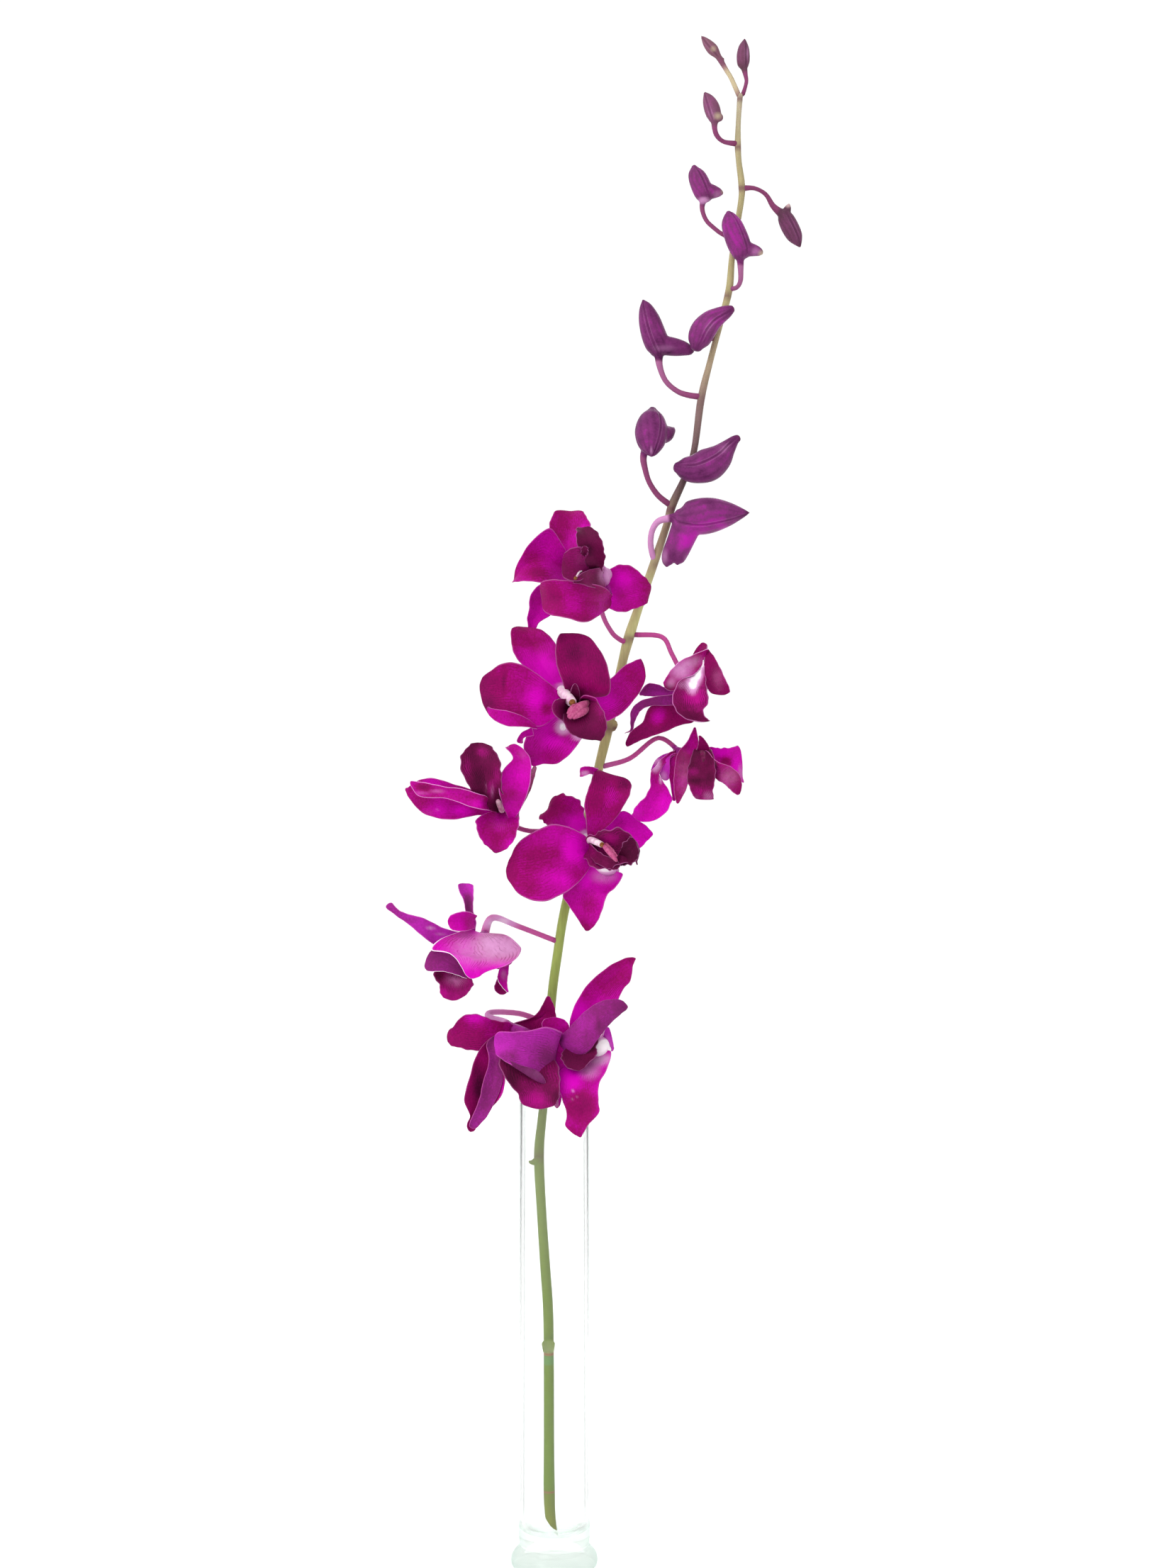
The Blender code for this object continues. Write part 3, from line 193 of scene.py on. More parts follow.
def through(values, t):
    """Follow a smooth curve through a list of values, with t from 0 to 1."""
    last = len(values) - 1
    i = min(int(t * last), last - 1)
    f = t * last - i
    before = values[i - 1] if i else 2 * values[0] - values[1]
    after = values[i + 2] if i + 2 <= last else 2 * values[last] - values[last - 1]
    start, end = values[i], values[i + 1]
    square = 2 * before - 5 * start + 4 * end - after
    cube = 3 * start - before - 3 * end + after
    return 0.5 * (2 * start + (end - before) * f + square * f**2 + cube * f**3)


def sampled(values, steps):
    """The values of a smooth curve at several steps along it."""
    return np.array([through(values, t) for t in steps])


def blade(*rungs, cup=0.25, tilt=0.0, wave=0.0, ragged=0.15, flap=False, outer=None, tone=(0.5, 0.5),
          glow=(), pale=(), rim=0.25, veins=1.0, tip=TIP_ROUND):
    """Describe a petal by rungs from its root to its tip.

    A rung is its left edge's x and z, its right edge's x and z, and its depth. The cup lifts the edges
    by a share of the half width, the tilt turns the blade edge on, the wave ripples its edges, ragged
    frays them and tip rounds its end. A flap grows from another petal. The face towards the viewer is
    the inner one, or with a negative cup the outer one, unless outer says which it is.
    The tone runs from deep to vivid, at the root and at the tip, and holds the petal's own colour together
    with painted light shining through it. Each glow is a spot of more or less of it, painted light where
    it is positive and painted shade where it is negative, and each pale is a pale spot: its middle's x
    and z, its half width and half height, and its strength. The rim, or the rims of the left and right
    edges, and the veins are how plainly they show.
    """
    return {"rungs": rungs, "cups": pair(cup), "tilts": pair(tilt), "wave": wave, "ragged": ragged,
            "flap": flap, "outer": outer, "tone": tone, "glow": glow, "pale": pale, "rims": pair(rim),
            "veins": veins, "tip": tip}


# the nine open flowers, from the top one down
BLOOMS = {}
BLOOMS["a"] = {
    "depth": -2,
    "tepals": [
        blade((5.5, 393, 9, 393.5, 3), (0.5, 401, 10, 400.5, 4), (-2, 408, 14.3, 408.5, 5),
              (-1.5, 412, 13.3, 411.5, 5.5), (0, 414.8, 11.8, 414, 6), (2.5, 416.2, 10.5, 416, 7),
              cup=(0.3, 0.45), tone=(0.85, 0.5), glow=((12, 405, 3.5, 9, 0.4), (0, 405, 5, 7, -0.15))),
        blade((7, 390.5, 7, 394, 2), (1, 386.5, 2.5, 402, -0.5), (-5, 387, -2.5, 409.3, -2),
              (-10, 388, -9, 404.5, -3), (-14, 387.9, -13, 397.5, -3), (-16.2, 387.6, -15.8, 390.5, -2),
              cup=(0.5, 0.3), tone=(0.8, 0.6), glow=((-10, 396, 6, 6, -0.15), (-7, 391, 8, 4, -0.3))),
        blade((7, 389, 3, 390, 5), (4, 384, -5, 388, 7), (1, 379, -9.3, 383, 8),
              (-1.5, 375, -9.8, 378, 8.5), (-6, 372, -10.7, 373.5, 9), (-7.8, 368, -10, 368, 9),
              cup=(0.2, 0.5), tone=(0.85, 0.75)),
        blade((22.5, 383, 22, 379.5, 0), (19, 386, 17, 375.3, -5), (11, 387.8, 11, 371.9, -8.5),
              (4, 388.8, 4.5, 373.8, -9), (-2, 388.8, -1.5, 375.2, -8), (-6, 386.8, -4.6, 379.5, -6),
              cup=-0.3, tone=(0.6, 0.5), rim=0.3, glow=((8, 377, 8, 4, 0.05), (16, 385, 6, 3, -0.2))),
        blade((17.5, 390, 17, 386, 3), (23.5, 394, 21.5, 377.8, 3), (29, 394.8, 27, 376, 2.5),
              (34, 391.2, 32, 377.7, 3), (37.3, 387.8, 35.5, 379.3, 4), (38.2, 385, 37, 381.3, 5), cup=0.2,
              ragged=0.3, tone=(0.8, 0.5), glow=((27, 389, 6, 6, 0.3), (22, 381, 5, 5, 0.2))),
    ],
    "lip": [
        blade((15, 391.5, 18.5, 393, -4), (12.5, 396, 19.8, 397.5, -8), (9.5, 401, 19.7, 401.5, -10),
              (8.6, 405, 18.3, 404.5, -10), (8.8, 408, 15.3, 408.5, -8), (9.3, 409.3, 12.5, 409.8, -7),
              cup=0.4, ragged=0.5, tone=(0.4, 0.35), glow=((13, 401, 4, 4, -0.35),)),
        blade((16.5, 391, 16.5, 395, -4), (11, 390.3, 12.5, 399.5, -9), (7.5, 388.3, 8.5, 402, -12),
              (4.8, 389, 5.3, 400.3, -12.5), (2.8, 392.5, 3.2, 397, -12), cup=0.4, tone=(0.7, 0.55)),
        blade((18.5, 385.6, 18, 393.8, -4), (14, 385.8, 13.5, 393, -9), (10, 387.3, 10, 391.3, -12),
              (7.3, 387.6, 7.6, 388.6, -13), cup=0.3, tone=(0.6, 0.5), pale=((20.5, 391, 5.5, 7, 0.5),),
              veins=2),
        blade((10.8, 398.6, 12.2, 398.4, -10.5), (10.4, 400.6, 13.4, 400.4, -12.5),
              (11.2, 402.6, 13.2, 402.2, -13), cup=0.5, wave=0.5, ragged=0.8, flap=True, tone=(0.15, 0.4),
              rim=0.2),
    ],
    "column": [(15, 391, -3), (10.5, 392.3, -10.5), (8.3, 389.6, -13.2)],
    "column_radius": 0.42,
    "core": [(9, 391.5, 3.5), (15, 391, 1), (19.5, 391, 0), (21.5, 391.5, 0)],
    "core_radii": (2.6, 4.2, 4.8, 2.2),
    "pale": ((21.5, 391, 4.5, 8, 0.6),),
    "stalk": (0.05, 0.25),
    "pedicel": [(28.8, 364), (25.5, 365.6), (22.5, 368.5), (19, 375.5), (17, 387)],
}
BLOOMS["b"] = {
    "depth": -8,
    "tepals": [
        blade((3, 343, 6.5, 345, 2), (-8, 351, 3, 352.5, 3), (-14.7, 357, 2.2, 359, 4),
              (-16.7, 362, 0, 364.2, 5), (-17.2, 367.5, -3.5, 367.8, 5.5), (-16.4, 370.8, -8.5, 370, 7),
              cup=0.2, tone=(1, 0.45), glow=((-3, 354, 6, 9, 0.35), (-14, 366, 5, 6, -0.15)),
              pale=((3.5, 345.5, 4, 4, 1),)),
        blade((6.5, 343.5, 12, 343, 0), (4, 348, 21.5, 344.3, -3), (1.3, 354, 22, 351, -4),
              (0.3, 360, 19.5, 358.5, -4), (1.5, 366.3, 15, 364.5, -3), (5, 368, 11.5, 367.7, -2), cup=0.2,
              tone=(0.4, 0.28), veins=1.2,
              glow=((15, 350, 7, 7, 0.12), (8, 361, 6, 6, -0.12), (19, 346, 4, 3, 0.2))),
        blade((4, 338.5, 4.5, 342.5, 0), (-4, 331.5, -3.5, 349, -2), (-11, 331, -11, 354.5, -3),
              (-19, 331.4, -18.5, 356.4, -3.5), (-25.3, 335.3, -25, 353, -3),
              (-29.5, 343.5, -29.7, 349.3, -2), cup=0.15, tone=(0.95, 0.3),
              glow=((-8, 343, 8, 8, 0.3), (-20, 350, 1.3, 7, -0.3), (-26, 342, 5, 9, -0.1),
                    (-3, 338, 4, 4, -0.35))),
        blade((-7, 331, -6.8, 330, -3.5), (-11.5, 334.6, -12, 330.9, -5.4), (-18, 337.1, -19, 331.2, -6.2),
              (-24, 338, -24.8, 334.4, -5.8), (-26.3, 338.9, -26.8, 338.2, -4.6), cup=-0.3, flap=True,
              tone=(0.65, 0.65), rim=0.5),
        blade((11, 343, 10.5, 338, 2), (18, 346.5, 18.5, 333, 3), (22.5, 350.3, 25.5, 335.3, 3.5),
              (27.5, 355, 31, 341, 4), (32.3, 357.3, 35, 347.3, 5), (34.5, 357.9, 36.2, 353, 6), cup=0.15,
              tone=(0.85, 0.5), veins=1.6, rim=0.5, glow=((20, 340, 7, 6, 0.25),)),
        blade((12, 330.5, 1, 337, 2), (11.5, 326.5, -6.5, 331, 1.5), (7.5, 321.5, -10.5, 328.5, 1),
              (2, 317.3, -11.5, 323, 2), (-4, 316.8, -10.3, 319, 3), (-8, 315, -9.3, 315.8, 4),
              cup=(0.3, 0.5), tone=(0.9, 0.65), veins=1.8,
              glow=((-1, 325, 7, 4, 0.25), (-6, 319, 6, 3, -0.15)),
              pale=((3.5, 331, 5, 5, 1), (10, 327, 5, 3, 0.7))),
        blade((-8, 327.4, -8.6, 330.8, -2.2), (-12, 326.5, -13, 328.5, -1.5),
              (-12.2, 324.1, -15.3, 324.7, 0), cup=0.3, flap=True, tone=(0.8, 0.7), rim=0.6),
    ],
    "lip": [
        blade((13.5, 341.5, 6, 337, -2), (18, 338.8, 4.2, 332.8, -7), (20.6, 334, 5.2, 328.8, -9),
              (20.4, 330, 9, 327.4, -9), (18.4, 325.2, 15.6, 325.8, -8), cup=0.35, ragged=0.4, tip=0.1,
              tone=(0.55, 0.3), glow=((16, 330, 5, 5, 0.12), (18.5, 337, 4, 5, 0.35)), veins=1.3),
        blade((10, 341.5, 14, 341, -3), (10.5, 343, 16, 341, -5.5), (12.5, 344, 17.5, 340.5, -7),
              (15.5, 343, 17.5, 341, -8), cup=0.3, tone=(0.7, 0.75), veins=2),
        blade((6, 342, 10, 342, -3), (6.3, 345, 10, 345, -5), (7, 347, 9.3, 347, -6),
              (7.8, 348, 8.6, 348, -6.3), cup=0.4, tone=(0.3, 0.35)),
        blade((5, 335.5, 5, 341, -3), (3, 333, 3, 342, -7), (0.3, 334.5, 0.3, 341.8, -10),
              (-1, 337, -0.9, 340.3, -10.5), cup=0.3, ragged=0.3, tone=(0.6, 0.55)),
    ],
    "callus": [
        [(13, 340.3, -5.5, 1.2), (10.5, 338.8, -8, 1.9), (7.8, 336.6, -9.5, 1.7), (6, 334.8, -10, 1.1)],
        [(13.3, 338, -6, 1), (11.4, 336.9, -8.5, 1.5), (9.2, 335.6, -9.5, 1.3), (7.6, 334.4, -10, 0.7)],
        [(8.5, 339.6, -6.5, 1), (6.8, 337.8, -9, 1.2), (5.6, 336.2, -10, 0.8)],
    ],
    "column": [(3, 345, 0), (5, 342.8, -4), (6.8, 340.8, -7)],
    "column_radius": 2.2,
    "core": [(5, 342, 3), (8, 338, 2.5), (10, 333, 3), (10.5, 330.5, 3.5)],
    "core_radii": (2.8, 4.0, 3.6, 1.8),
    "pedicel": [(20.8, 331), (16, 332.5), (11, 335), (8, 338)],
}
BLOOMS["c"] = {
    "depth": 6,
    "tepals": [
        blade((60.5, 361.8, 59.3, 357.5, -1), (55.3, 359.6, 57, 353.5, -2.5), (49.8, 357, 54.2, 350.8, -4),
              (46, 353.3, 50.8, 349.8, -5), (43.5, 349.5, 49, 346.5, -5.5), (42.3, 346.8, 47, 344.2, -5.5),
              cup=-0.15, tone=(0.6, 0.6), rim=1.2, glow=((45, 346, 4, 3, -0.35),),
              pale=((55, 357, 7, 4, 0.3), (50, 353, 8, 6, 0.5), (46, 348, 3.5, 3, 0.35))),
        blade((60.5, 363, 59.8, 360.3, 1), (58.8, 364.2, 57.6, 359, 2.5), (56.3, 362, 55.8, 358, 3.5),
              (54.4, 358.9, 54.6, 357.6, 4), cup=-0.1, tone=(0.4, 0.4), rim=0.4, veins=2),
        blade((59.6, 360.8, 60.8, 361.4, 0), (59.2, 356.3, 63.3, 358.3, -2), (58.9, 351.3, 65.6, 354, -3),
              (59.6, 347.3, 67.7, 349.5, -3.5), (61.6, 344.6, 69.4, 345.8, -3),
              (64.4, 343.3, 68.7, 343.5, -2.5), cup=-0.2, tone=(0.42, 0.42), rim=(1.4, 0.6), veins=2,
              glow=((62, 350, 3, 7, -0.2),), pale=((65, 350, 5, 9, 0.17),)),
        blade((51, 342.5, 51, 346, 2), (44.5, 343.2, 44.5, 346.3, 2), (39, 342.9, 40.3, 347.8, 1.5),
              (36, 343, 36.5, 347.9, 1), (33.3, 343.4, 33.8, 344.6, 0.5), cup=0.3, outer=True,
              tone=(0.6, 0.65), rim=0.6),
        blade((48, 339.5, 48, 344, 0), (39, 339.3, 39.5, 342.8, -1.5), (34.8, 337.8, 33.5, 340.8, -2),
              (33.3, 336, 30.4, 337.5, -2), (31.8, 333, 30, 333, -1.5), (30.9, 329.5, 30, 329.7, -1),
              (28.5, 328.6, 27.5, 328.1, -1), cup=0.3, outer=True, tone=(0.5, 0.5), rim=0.6),
        blade((55.5, 333.5, 53, 342, 2), (49.5, 331.3, 44, 341.5, 1), (43, 328.5, 37, 338.3, 0),
              (37, 326.6, 34.9, 332.9, -0.5), (32, 324.5, 30.2, 329, -0.5), (28.8, 322.8, 27.9, 323.9, 0),
              cup=0.3, tone=(0.5, 0.35), veins=1.5, glow=((41, 335, 5, 6, 0.45), (46, 332, 8, 4, -0.1))),
    ],
    "lip": [
        blade((57.3, 355, 59.3, 358, -1), (53.4, 350, 59.6, 352, -3.5), (49.4, 347.8, 60, 347.5, -5.5),
              (46.8, 343.6, 60.4, 343.4, -7), (46.6, 339.6, 61, 340.3, -7.5),
              (48.6, 336.3, 58.9, 337.2, -7.8), (52.4, 333.6, 60, 334.2, -8), (57.6, 332.6, 62, 333, -8.2),
              cup=(-0.3, -0.3), ragged=0.3, wave=0.3, tip=0.1, tone=(0.95, 0.5), rim=(0.5, 0.4), veins=3,
              glow=((55, 343, 6, 4.5, 0.6), (60.5, 347, 2, 7, -0.25), (54, 335, 8, 3, -0.25)),
              pale=((59, 357, 2, 5, 1), (57.4, 353, 2.8, 5, 0.9), (55.2, 349.4, 4.6, 4.6, 0.95),
                    (54.4, 346, 3.8, 4.2, 0.75), (50.5, 347.5, 3.5, 3, 0.35))),
    ],
    "column": [(53.5, 346, 0), (51, 341, -1.5), (50, 337, -3)],
    "core": [(60, 361, 0), (57.5, 355.5, 0), (55, 349, 0), (52, 344, 1.5)],
    "core_radii": (0.8, 3.4, 4.0, 2.8),
    "stalk": (0, 0),
    "pedicel": [(31.5, 367.3), (42.5, 366.4), (46.5, 359.5), (52, 349)],
}
BLOOMS["d"] = {
    "depth": 1,
    "tepals": [
        blade((47.5, 319.5, 46, 321, 2), (43, 315.5, 41, 316.8, 0), (41.7, 311, 37.9, 312, -1),
              (44.8, 306.5, 37.7, 306.5, -2), (46.5, 301.5, 34.5, 302, -2), (43, 296.3, 31.3, 298.5, -2),
              (35, 292.6, 30.5, 295.4, -1), cup=0.3, tone=(0.5, 0.95), ragged=0.4, rim=0.5, veins=2,
              glow=((36, 300, 4, 6, -0.08), (44, 301, 4, 7, 0.2)),
              pale=((40, 316, 3.5, 5, 0.75), (42, 310, 1.2, 3, 0.6))),
        blade((49, 319.5, 44.8, 319, 2), (48.6, 313.5, 45, 313.5, 0), (48.3, 307, 46, 307, 0),
              (47.9, 301.5, 46.8, 301.5, 0), cup=0.2, tone=(0.55, 0.7)),
        blade((46, 319, 42.5, 318, 1), (45.7, 314, 41.2, 314, 0), (45.3, 309.6, 42.6, 309.6, 0), cup=0.3,
              outer=True, tone=(0.9, 0.9), pale=((43, 311, 3, 4, 0.4),)),
        blade((47, 320, 48.5, 321.2, 3), (42.5, 317.8, 43.5, 320.2, 4), (40.3, 315.3, 40, 317.8, 5),
              (39, 313, 38, 313.3, 5), cup=-0.3, tone=(0.8, 0.8), pale=((41, 317, 4, 2.5, 0.5),)),
        blade((55.2, 330.8, 55.8, 330.8, -2), (52.5, 325.5, 57, 325, 0.4), (48.6, 320.3, 55.3, 319.5, 1.2),
              (47.3, 312, 53.5, 312.5, -3.5), (47.2, 306, 52.2, 306.5, -4.5), (48.2, 300.6, 49, 300.4, -4),
              cup=-0.3, flap=True, tone=(0.62, 0.46), veins=2, rim=0.35, pale=((51, 312, 6, 18, 0.18),)),
        blade((54.5, 317, 61.5, 317.5, 3), (56, 321, 61.8, 321.5, 2.5), (57, 325, 60, 325, 2),
              (57, 327.5, 57.8, 327.5, 2), cup=0.3, tone=(0.55, 0.5)),
        blade((59.5, 323, 60, 316, 4), (64.5, 322.6, 64.5, 314.5, 4), (68.5, 322.6, 69, 311, 3.5),
              (71.9, 323, 73, 309, 4.5), (74.3, 317.3, 74.3, 307.5, 5.5), cup=0.25, ragged=0.4,
              tone=(0.85, 0.75), glow=((68, 317, 3, 3, -0.4), (72, 316, 3, 6, 0.3), (66, 321, 5, 3, 0.25)),
              pale=((73.5, 313, 2, 6, 0.3),)),
        blade((61, 315, 61, 321.5, 1), (64.5, 310.2, 65, 317.2, -2.5), (67.5, 308, 69.5, 315.3, -3.5),
              (70, 305.3, 73, 312, -3.5), (73, 303.4, 74.2, 306.6, -3), cup=-0.3, tone=(0.55, 0.5),
              rim=0.4, veins=2, pale=((69, 311, 7, 8, 0.25),)),
    ],
    "lip": [
        blade((62, 320.5, 55, 321, 1), (63.4, 315.5, 53.2, 315, -2), (63.8, 310.6, 52.3, 309.6, -4.5),
              (62.7, 305.8, 53.5, 306, -5.5), (63, 301.9, 55.8, 302.1, -5.5), cup=0.4, ragged=0.4,
              tip=0.06, tone=(0.2, 0.75), veins=3,
              glow=((54.8, 313.2, 4, 2.4, 0.4), (58, 318, 5, 4, 0.2), (55.5, 309.4, 5, 1.8, -0.4),
                    (61.5, 310.5, 3, 4.5, -0.25), (57, 305, 3, 3, 0.3)),
              pale=((61, 303.5, 4, 3.5, 0.3), (56, 303, 2, 2, 0.2))),
    ],
    "column_look": "dark",
    "column": [(58.5, 320, 1), (59, 315, -1), (59, 311, -2)],
    "core": [(48, 321.5, 4), (51.5, 319.5, 4), (56, 319, 4.5), (59, 319, 5)],
    "core_radii": (1.8, 3.2, 3.6, 2.6),
    "stalk": (0.25, -0.55),
    "pedicel": [(19.5, 315.3), (30, 318.5), (41, 326.5), (49.5, 321)],
}
BLOOMS["e"] = {
    "depth": -11,
    "tepals": [
        blade((-24, 295.3, -22, 299.5, 2), (-31, 295.9, -32, 305.8, 1), (-38.5, 294.3, -40, 308.2, 0),
              (-46, 294.7, -47, 310.6, -0.5), (-52.5, 297.5, -53, 310, 0), (-57, 302.5, -57.2, 307.3, 0.5),
              (-59, 306, -58.8, 306.6, 1), cup=0.25, tone=(0.68, 0.62),
              glow=((-45, 298, 9, 4, 0.2), (-36.5, 297.8, 6, 3.4, 0.45), (-48, 308.5, 8, 3, 0.25)),
              pale=((-45.5, 298.3, 1.6, 0.5, 0.5), (-50, 297, 5, 1.6, 0.12))),
        blade((-22, 300, -22, 298, 0), (-25.8, 301.6, -25.6, 297.9, -2), (-28.8, 303.9, -28.4, 298, -7.8),
              (-35.5, 306.4, -35, 300.1, -7.6), (-43.5, 307.4, -42.5, 302.7, -6.2),
              (-51, 308.9, -52.5, 303.1, -4.5), (-57.1, 309.5, -57, 308, -3.5), cup=-0.4,
              tone=(0.55, 0.66), rim=0.9,
              glow=((-52, 307, 5, 2.5, -0.35), (-36, 303, 8, 2.5, -0.08), (-30, 300.5, 4, 3, 0.25)),
              pale=((-46, 305.5, 5, 1.6, 0.25), (-53, 304.5, 6, 1.5, 0.2))),
        blade((-16.2, 294.2, -18, 294.6, -1), (-12.8, 300, -20.3, 300, -4), (-9.9, 307, -21.9, 307.5, -7),
              (-9, 313.5, -20.5, 313.2, -7), (-9.8, 319, -16.3, 318.3, -6),
              (-13.5, 322.9, -18.9, 321.8, -5), (-16.8, 324.3, -19.3, 322.4, -4), cup=-0.25,
              tone=(0.7, 0.75), rim=0.6, pale=((-12, 320, 5, 4, 0.12),)),
        blade((-17, 296, -14, 297.5, 1), (-14, 300, -12, 301, 2), (-12, 306, -9.5, 306, 2.5),
              (-10.5, 311, -8, 311, 2), (-8, 315.5, -7, 315.3, 1), cup=0.3, tilt=3, tone=(0.5, 0.5)),
        blade((-14.8, 298, -22.5, 297.3, 1), (-13.6, 294, -30.3, 293.6, -1.5),
              (-14.2, 290.3, -30.8, 290.8, -2.5), (-16, 286, -28.8, 286.3, -2.5),
              (-19, 283, -26, 283.6, -2), (-22.7, 281, -23.3, 281, -1), cup=0.25, tone=(0.65, 0.6),
              ragged=0.35, rim=0.5, glow=((-17, 285, 4, 5, 0.25), (-23, 287, 5, 4, -0.2)),
              pale=((-22, 292, 8, 4, 0.08),)),
    ],
    "lip": [
        blade((-25, 298.5, -20.5, 301, -2), (-31, 303, -20.8, 306, -6), (-34.5, 309.5, -20.8, 311.5, -8),
              (-37.2, 316, -21, 315.8, -8.5), (-35.5, 320.5, -23.6, 320.6, -7.5),
              (-31.5, 324.8, -27.5, 324.6, -6), cup=0.4, ragged=0.6, tone=(0.38, 0.36), veins=2.2,
              glow=((-34.5, 316, 3, 8, 0.3), (-22.5, 313, 3, 7, 0.35), (-22, 300, 3.5, 3, -0.6),
                    (-30, 311, 4, 6, -0.3), (-28.5, 320.8, 4.5, 3.5, 0.5), (-25, 306, 3, 6, 0.5)),
              pale=((-24.5, 305.5, 1.2, 5, 0.3), (-27, 307.5, 0.8, 5, 0.2))),
    ],
    "column": [(-20.8, 298, -3.5), (-21.4, 299.5, -6.5), (-22.1, 301.2, -8.5)],
    "column_look": "dull",
    "column_radius": 1.1,
    "core": [(-20.5, 298, 2), (-19, 296, 3), (-17, 293, 4), (-16, 291, 5)],
    "core_radii": (2.8, 3.4, 2.6, 1.6),
    "stalk": (-0.2, -0.2),
    "pedicel": [(11.5, 289.8), (0, 289.8), (-10, 289.8), (-16.8, 292)],
}
BLOOMS["f"] = {
    "depth": -4,
    "tepals": [
        blade((13, 287.5, 18, 289, 1), (12.5, 294, 24.3, 295, 0), (11.8, 301, 28, 300.7, -0.5),
              (13.3, 306, 30.2, 305, -0.5), (15, 310.5, 29.8, 308.8, 0.5), (16, 314.7, 23.5, 311.5, 2),
              cup=0.2, tone=(0.6, 0.42), rim=0.3, veins=2.5,
              glow=((22, 303, 4, 8, 0.1), (27, 308, 4, 4, -0.25))),
        blade((15.5, 311.5, 17, 314.6, 1), (13.8, 312.3, 14, 315.2, -1), (11.3, 311.2, 11.6, 315.2, -1.5),
              (10.3, 311, 10, 313.8, -1), cup=0.5, flap=True, tone=(0.75, 0.7), rim=0.9,
              pale=((12, 312.5, 3, 2, 0.5),)),
        blade((11, 287.5, 14, 289, 3), (4, 291, 12, 296, 3.5), (-0.5, 292, 10.5, 301.3, 3.5),
              (-3.5, 292.5, 6, 303.7, 3.5), (-4.7, 294.3, 1.5, 303.7, 4), (-3.5, 296.5, -1.8, 300, 5),
              cup=0.3, wave=0.5, ragged=0.8, tone=(1, 0.35),
              glow=((9, 293, 5, 6, 0.25), (-1, 300, 4, 4, -0.1)), pale=((12.5, 287.5, 4, 4, 1),)),
        blade((13.8, 276, 13.5, 286.5, 1), (9.5, 270, 8.6, 289.8, -0.5), (3, 264.8, 0, 292.6, -2),
              (-5, 261.8, -8, 289.8, -3), (-12.5, 264, -14.3, 285, -3), (-17.5, 269.5, -16.7, 280, -2.5),
              (-19.2, 272.7, -19, 276, -2), cup=0.15, tone=(0.8, 0.45), rim=0.4,
              glow=((8, 283, 8, 8, 0.35), (2, 270, 6, 5, 0.2), (-6, 280, 9, 8, -0.12))),
        blade((27, 272.6, 14, 276, 2), (24.5, 267.5, 9.5, 270.5, 1.5), (20.8, 264, 3.3, 264.8, 1),
              (18.8, 258, 6, 260, 1), (16.3, 253, 9.8, 254.5, 1.5), (13.3, 250.2, 12.3, 250.2, 2.5),
              cup=0.3, tone=(0.95, 0.5), rim=0.5, glow=((14, 262, 6, 6, -0.15), (12, 270, 4, 5, 0.2)),
              pale=((20, 272, 9, 5, 0.35),)),
        blade((17, 290.5, 18, 286, 4), (22, 294, 25, 285, 4.5), (27, 297.8, 30, 283.5, 4.5),
              (31.5, 294.8, 33.3, 282.8, 5), (36, 292, 36.3, 285.6, 5.5), (39.1, 288.7, 38.9, 288, 6),
              cup=0.2, tone=(0.95, 0.9), glow=((26, 293, 6, 4, -0.2),)),
    ],
    "lip": [
        blade((14.5, 286.5, 13.3, 279.5, -1), (18.5, 288.8, 18, 275.8, -4.5), (24, 290.3, 23.5, 274.3, -8),
              (28.5, 290.4, 28, 276.8, -9.5), (31.8, 285, 31.6, 277.5, -9.5),
              (33.8, 280.2, 31.8, 275.4, -9), cup=0.6, wave=0.8, ragged=1, tone=(0.7, 0.4), veins=2,
              glow=((22, 287, 6, 4, 0.35), (29, 281, 5, 5, -0.15))),
        blade((14.5, 285, 15, 280.5, -3), (18, 281.5, 18, 276.8, -7.5), (22, 279.5, 23, 274.8, -10),
              (25, 278.5, 26.8, 275, -11.5), cup=(0.2, 0.6), ragged=0.6, tone=(0.65, 0.3), veins=2),
        blade((26, 281, 27.5, 276.5, -9), (28, 285, 31.5, 277, -11.5), (30, 287.5, 33.5, 280, -12),
              (31.5, 287, 33, 283.5, -12), cup=0.5, wave=0.6, ragged=0.9, tone=(0.3, 0.15), veins=2),
    ],
    "callus": [
        [(19, 284.6, -7.5, 0.8), (21.5, 281.8, -10.5, 1.15), (23.5, 279.4, -12, 0.95),
         (24.6, 278, -12, 0.6)],
        [(20.5, 284.6, -7.5, 0.6), (22.6, 282.2, -10, 0.8), (24.6, 279.8, -11.5, 0.5)],
    ],
    "column": [(14, 286.3, -2), (16.3, 285.5, -6), (18.6, 284.4, -8.5)],
    "column_radius": 1.3,
    "core": [(14.5, 285.5, 3), (17, 281, 2), (21, 275.5, 2), (24.5, 273.8, 3)],
    "core_radii": (2.8, 4.2, 3.8, 1.6),
    "pale": ((20, 274.5, 10, 3.5, 0.95),),
    "pedicel": [(8.5, 276), (10, 279), (12, 281.5), (15, 282.5)],
}
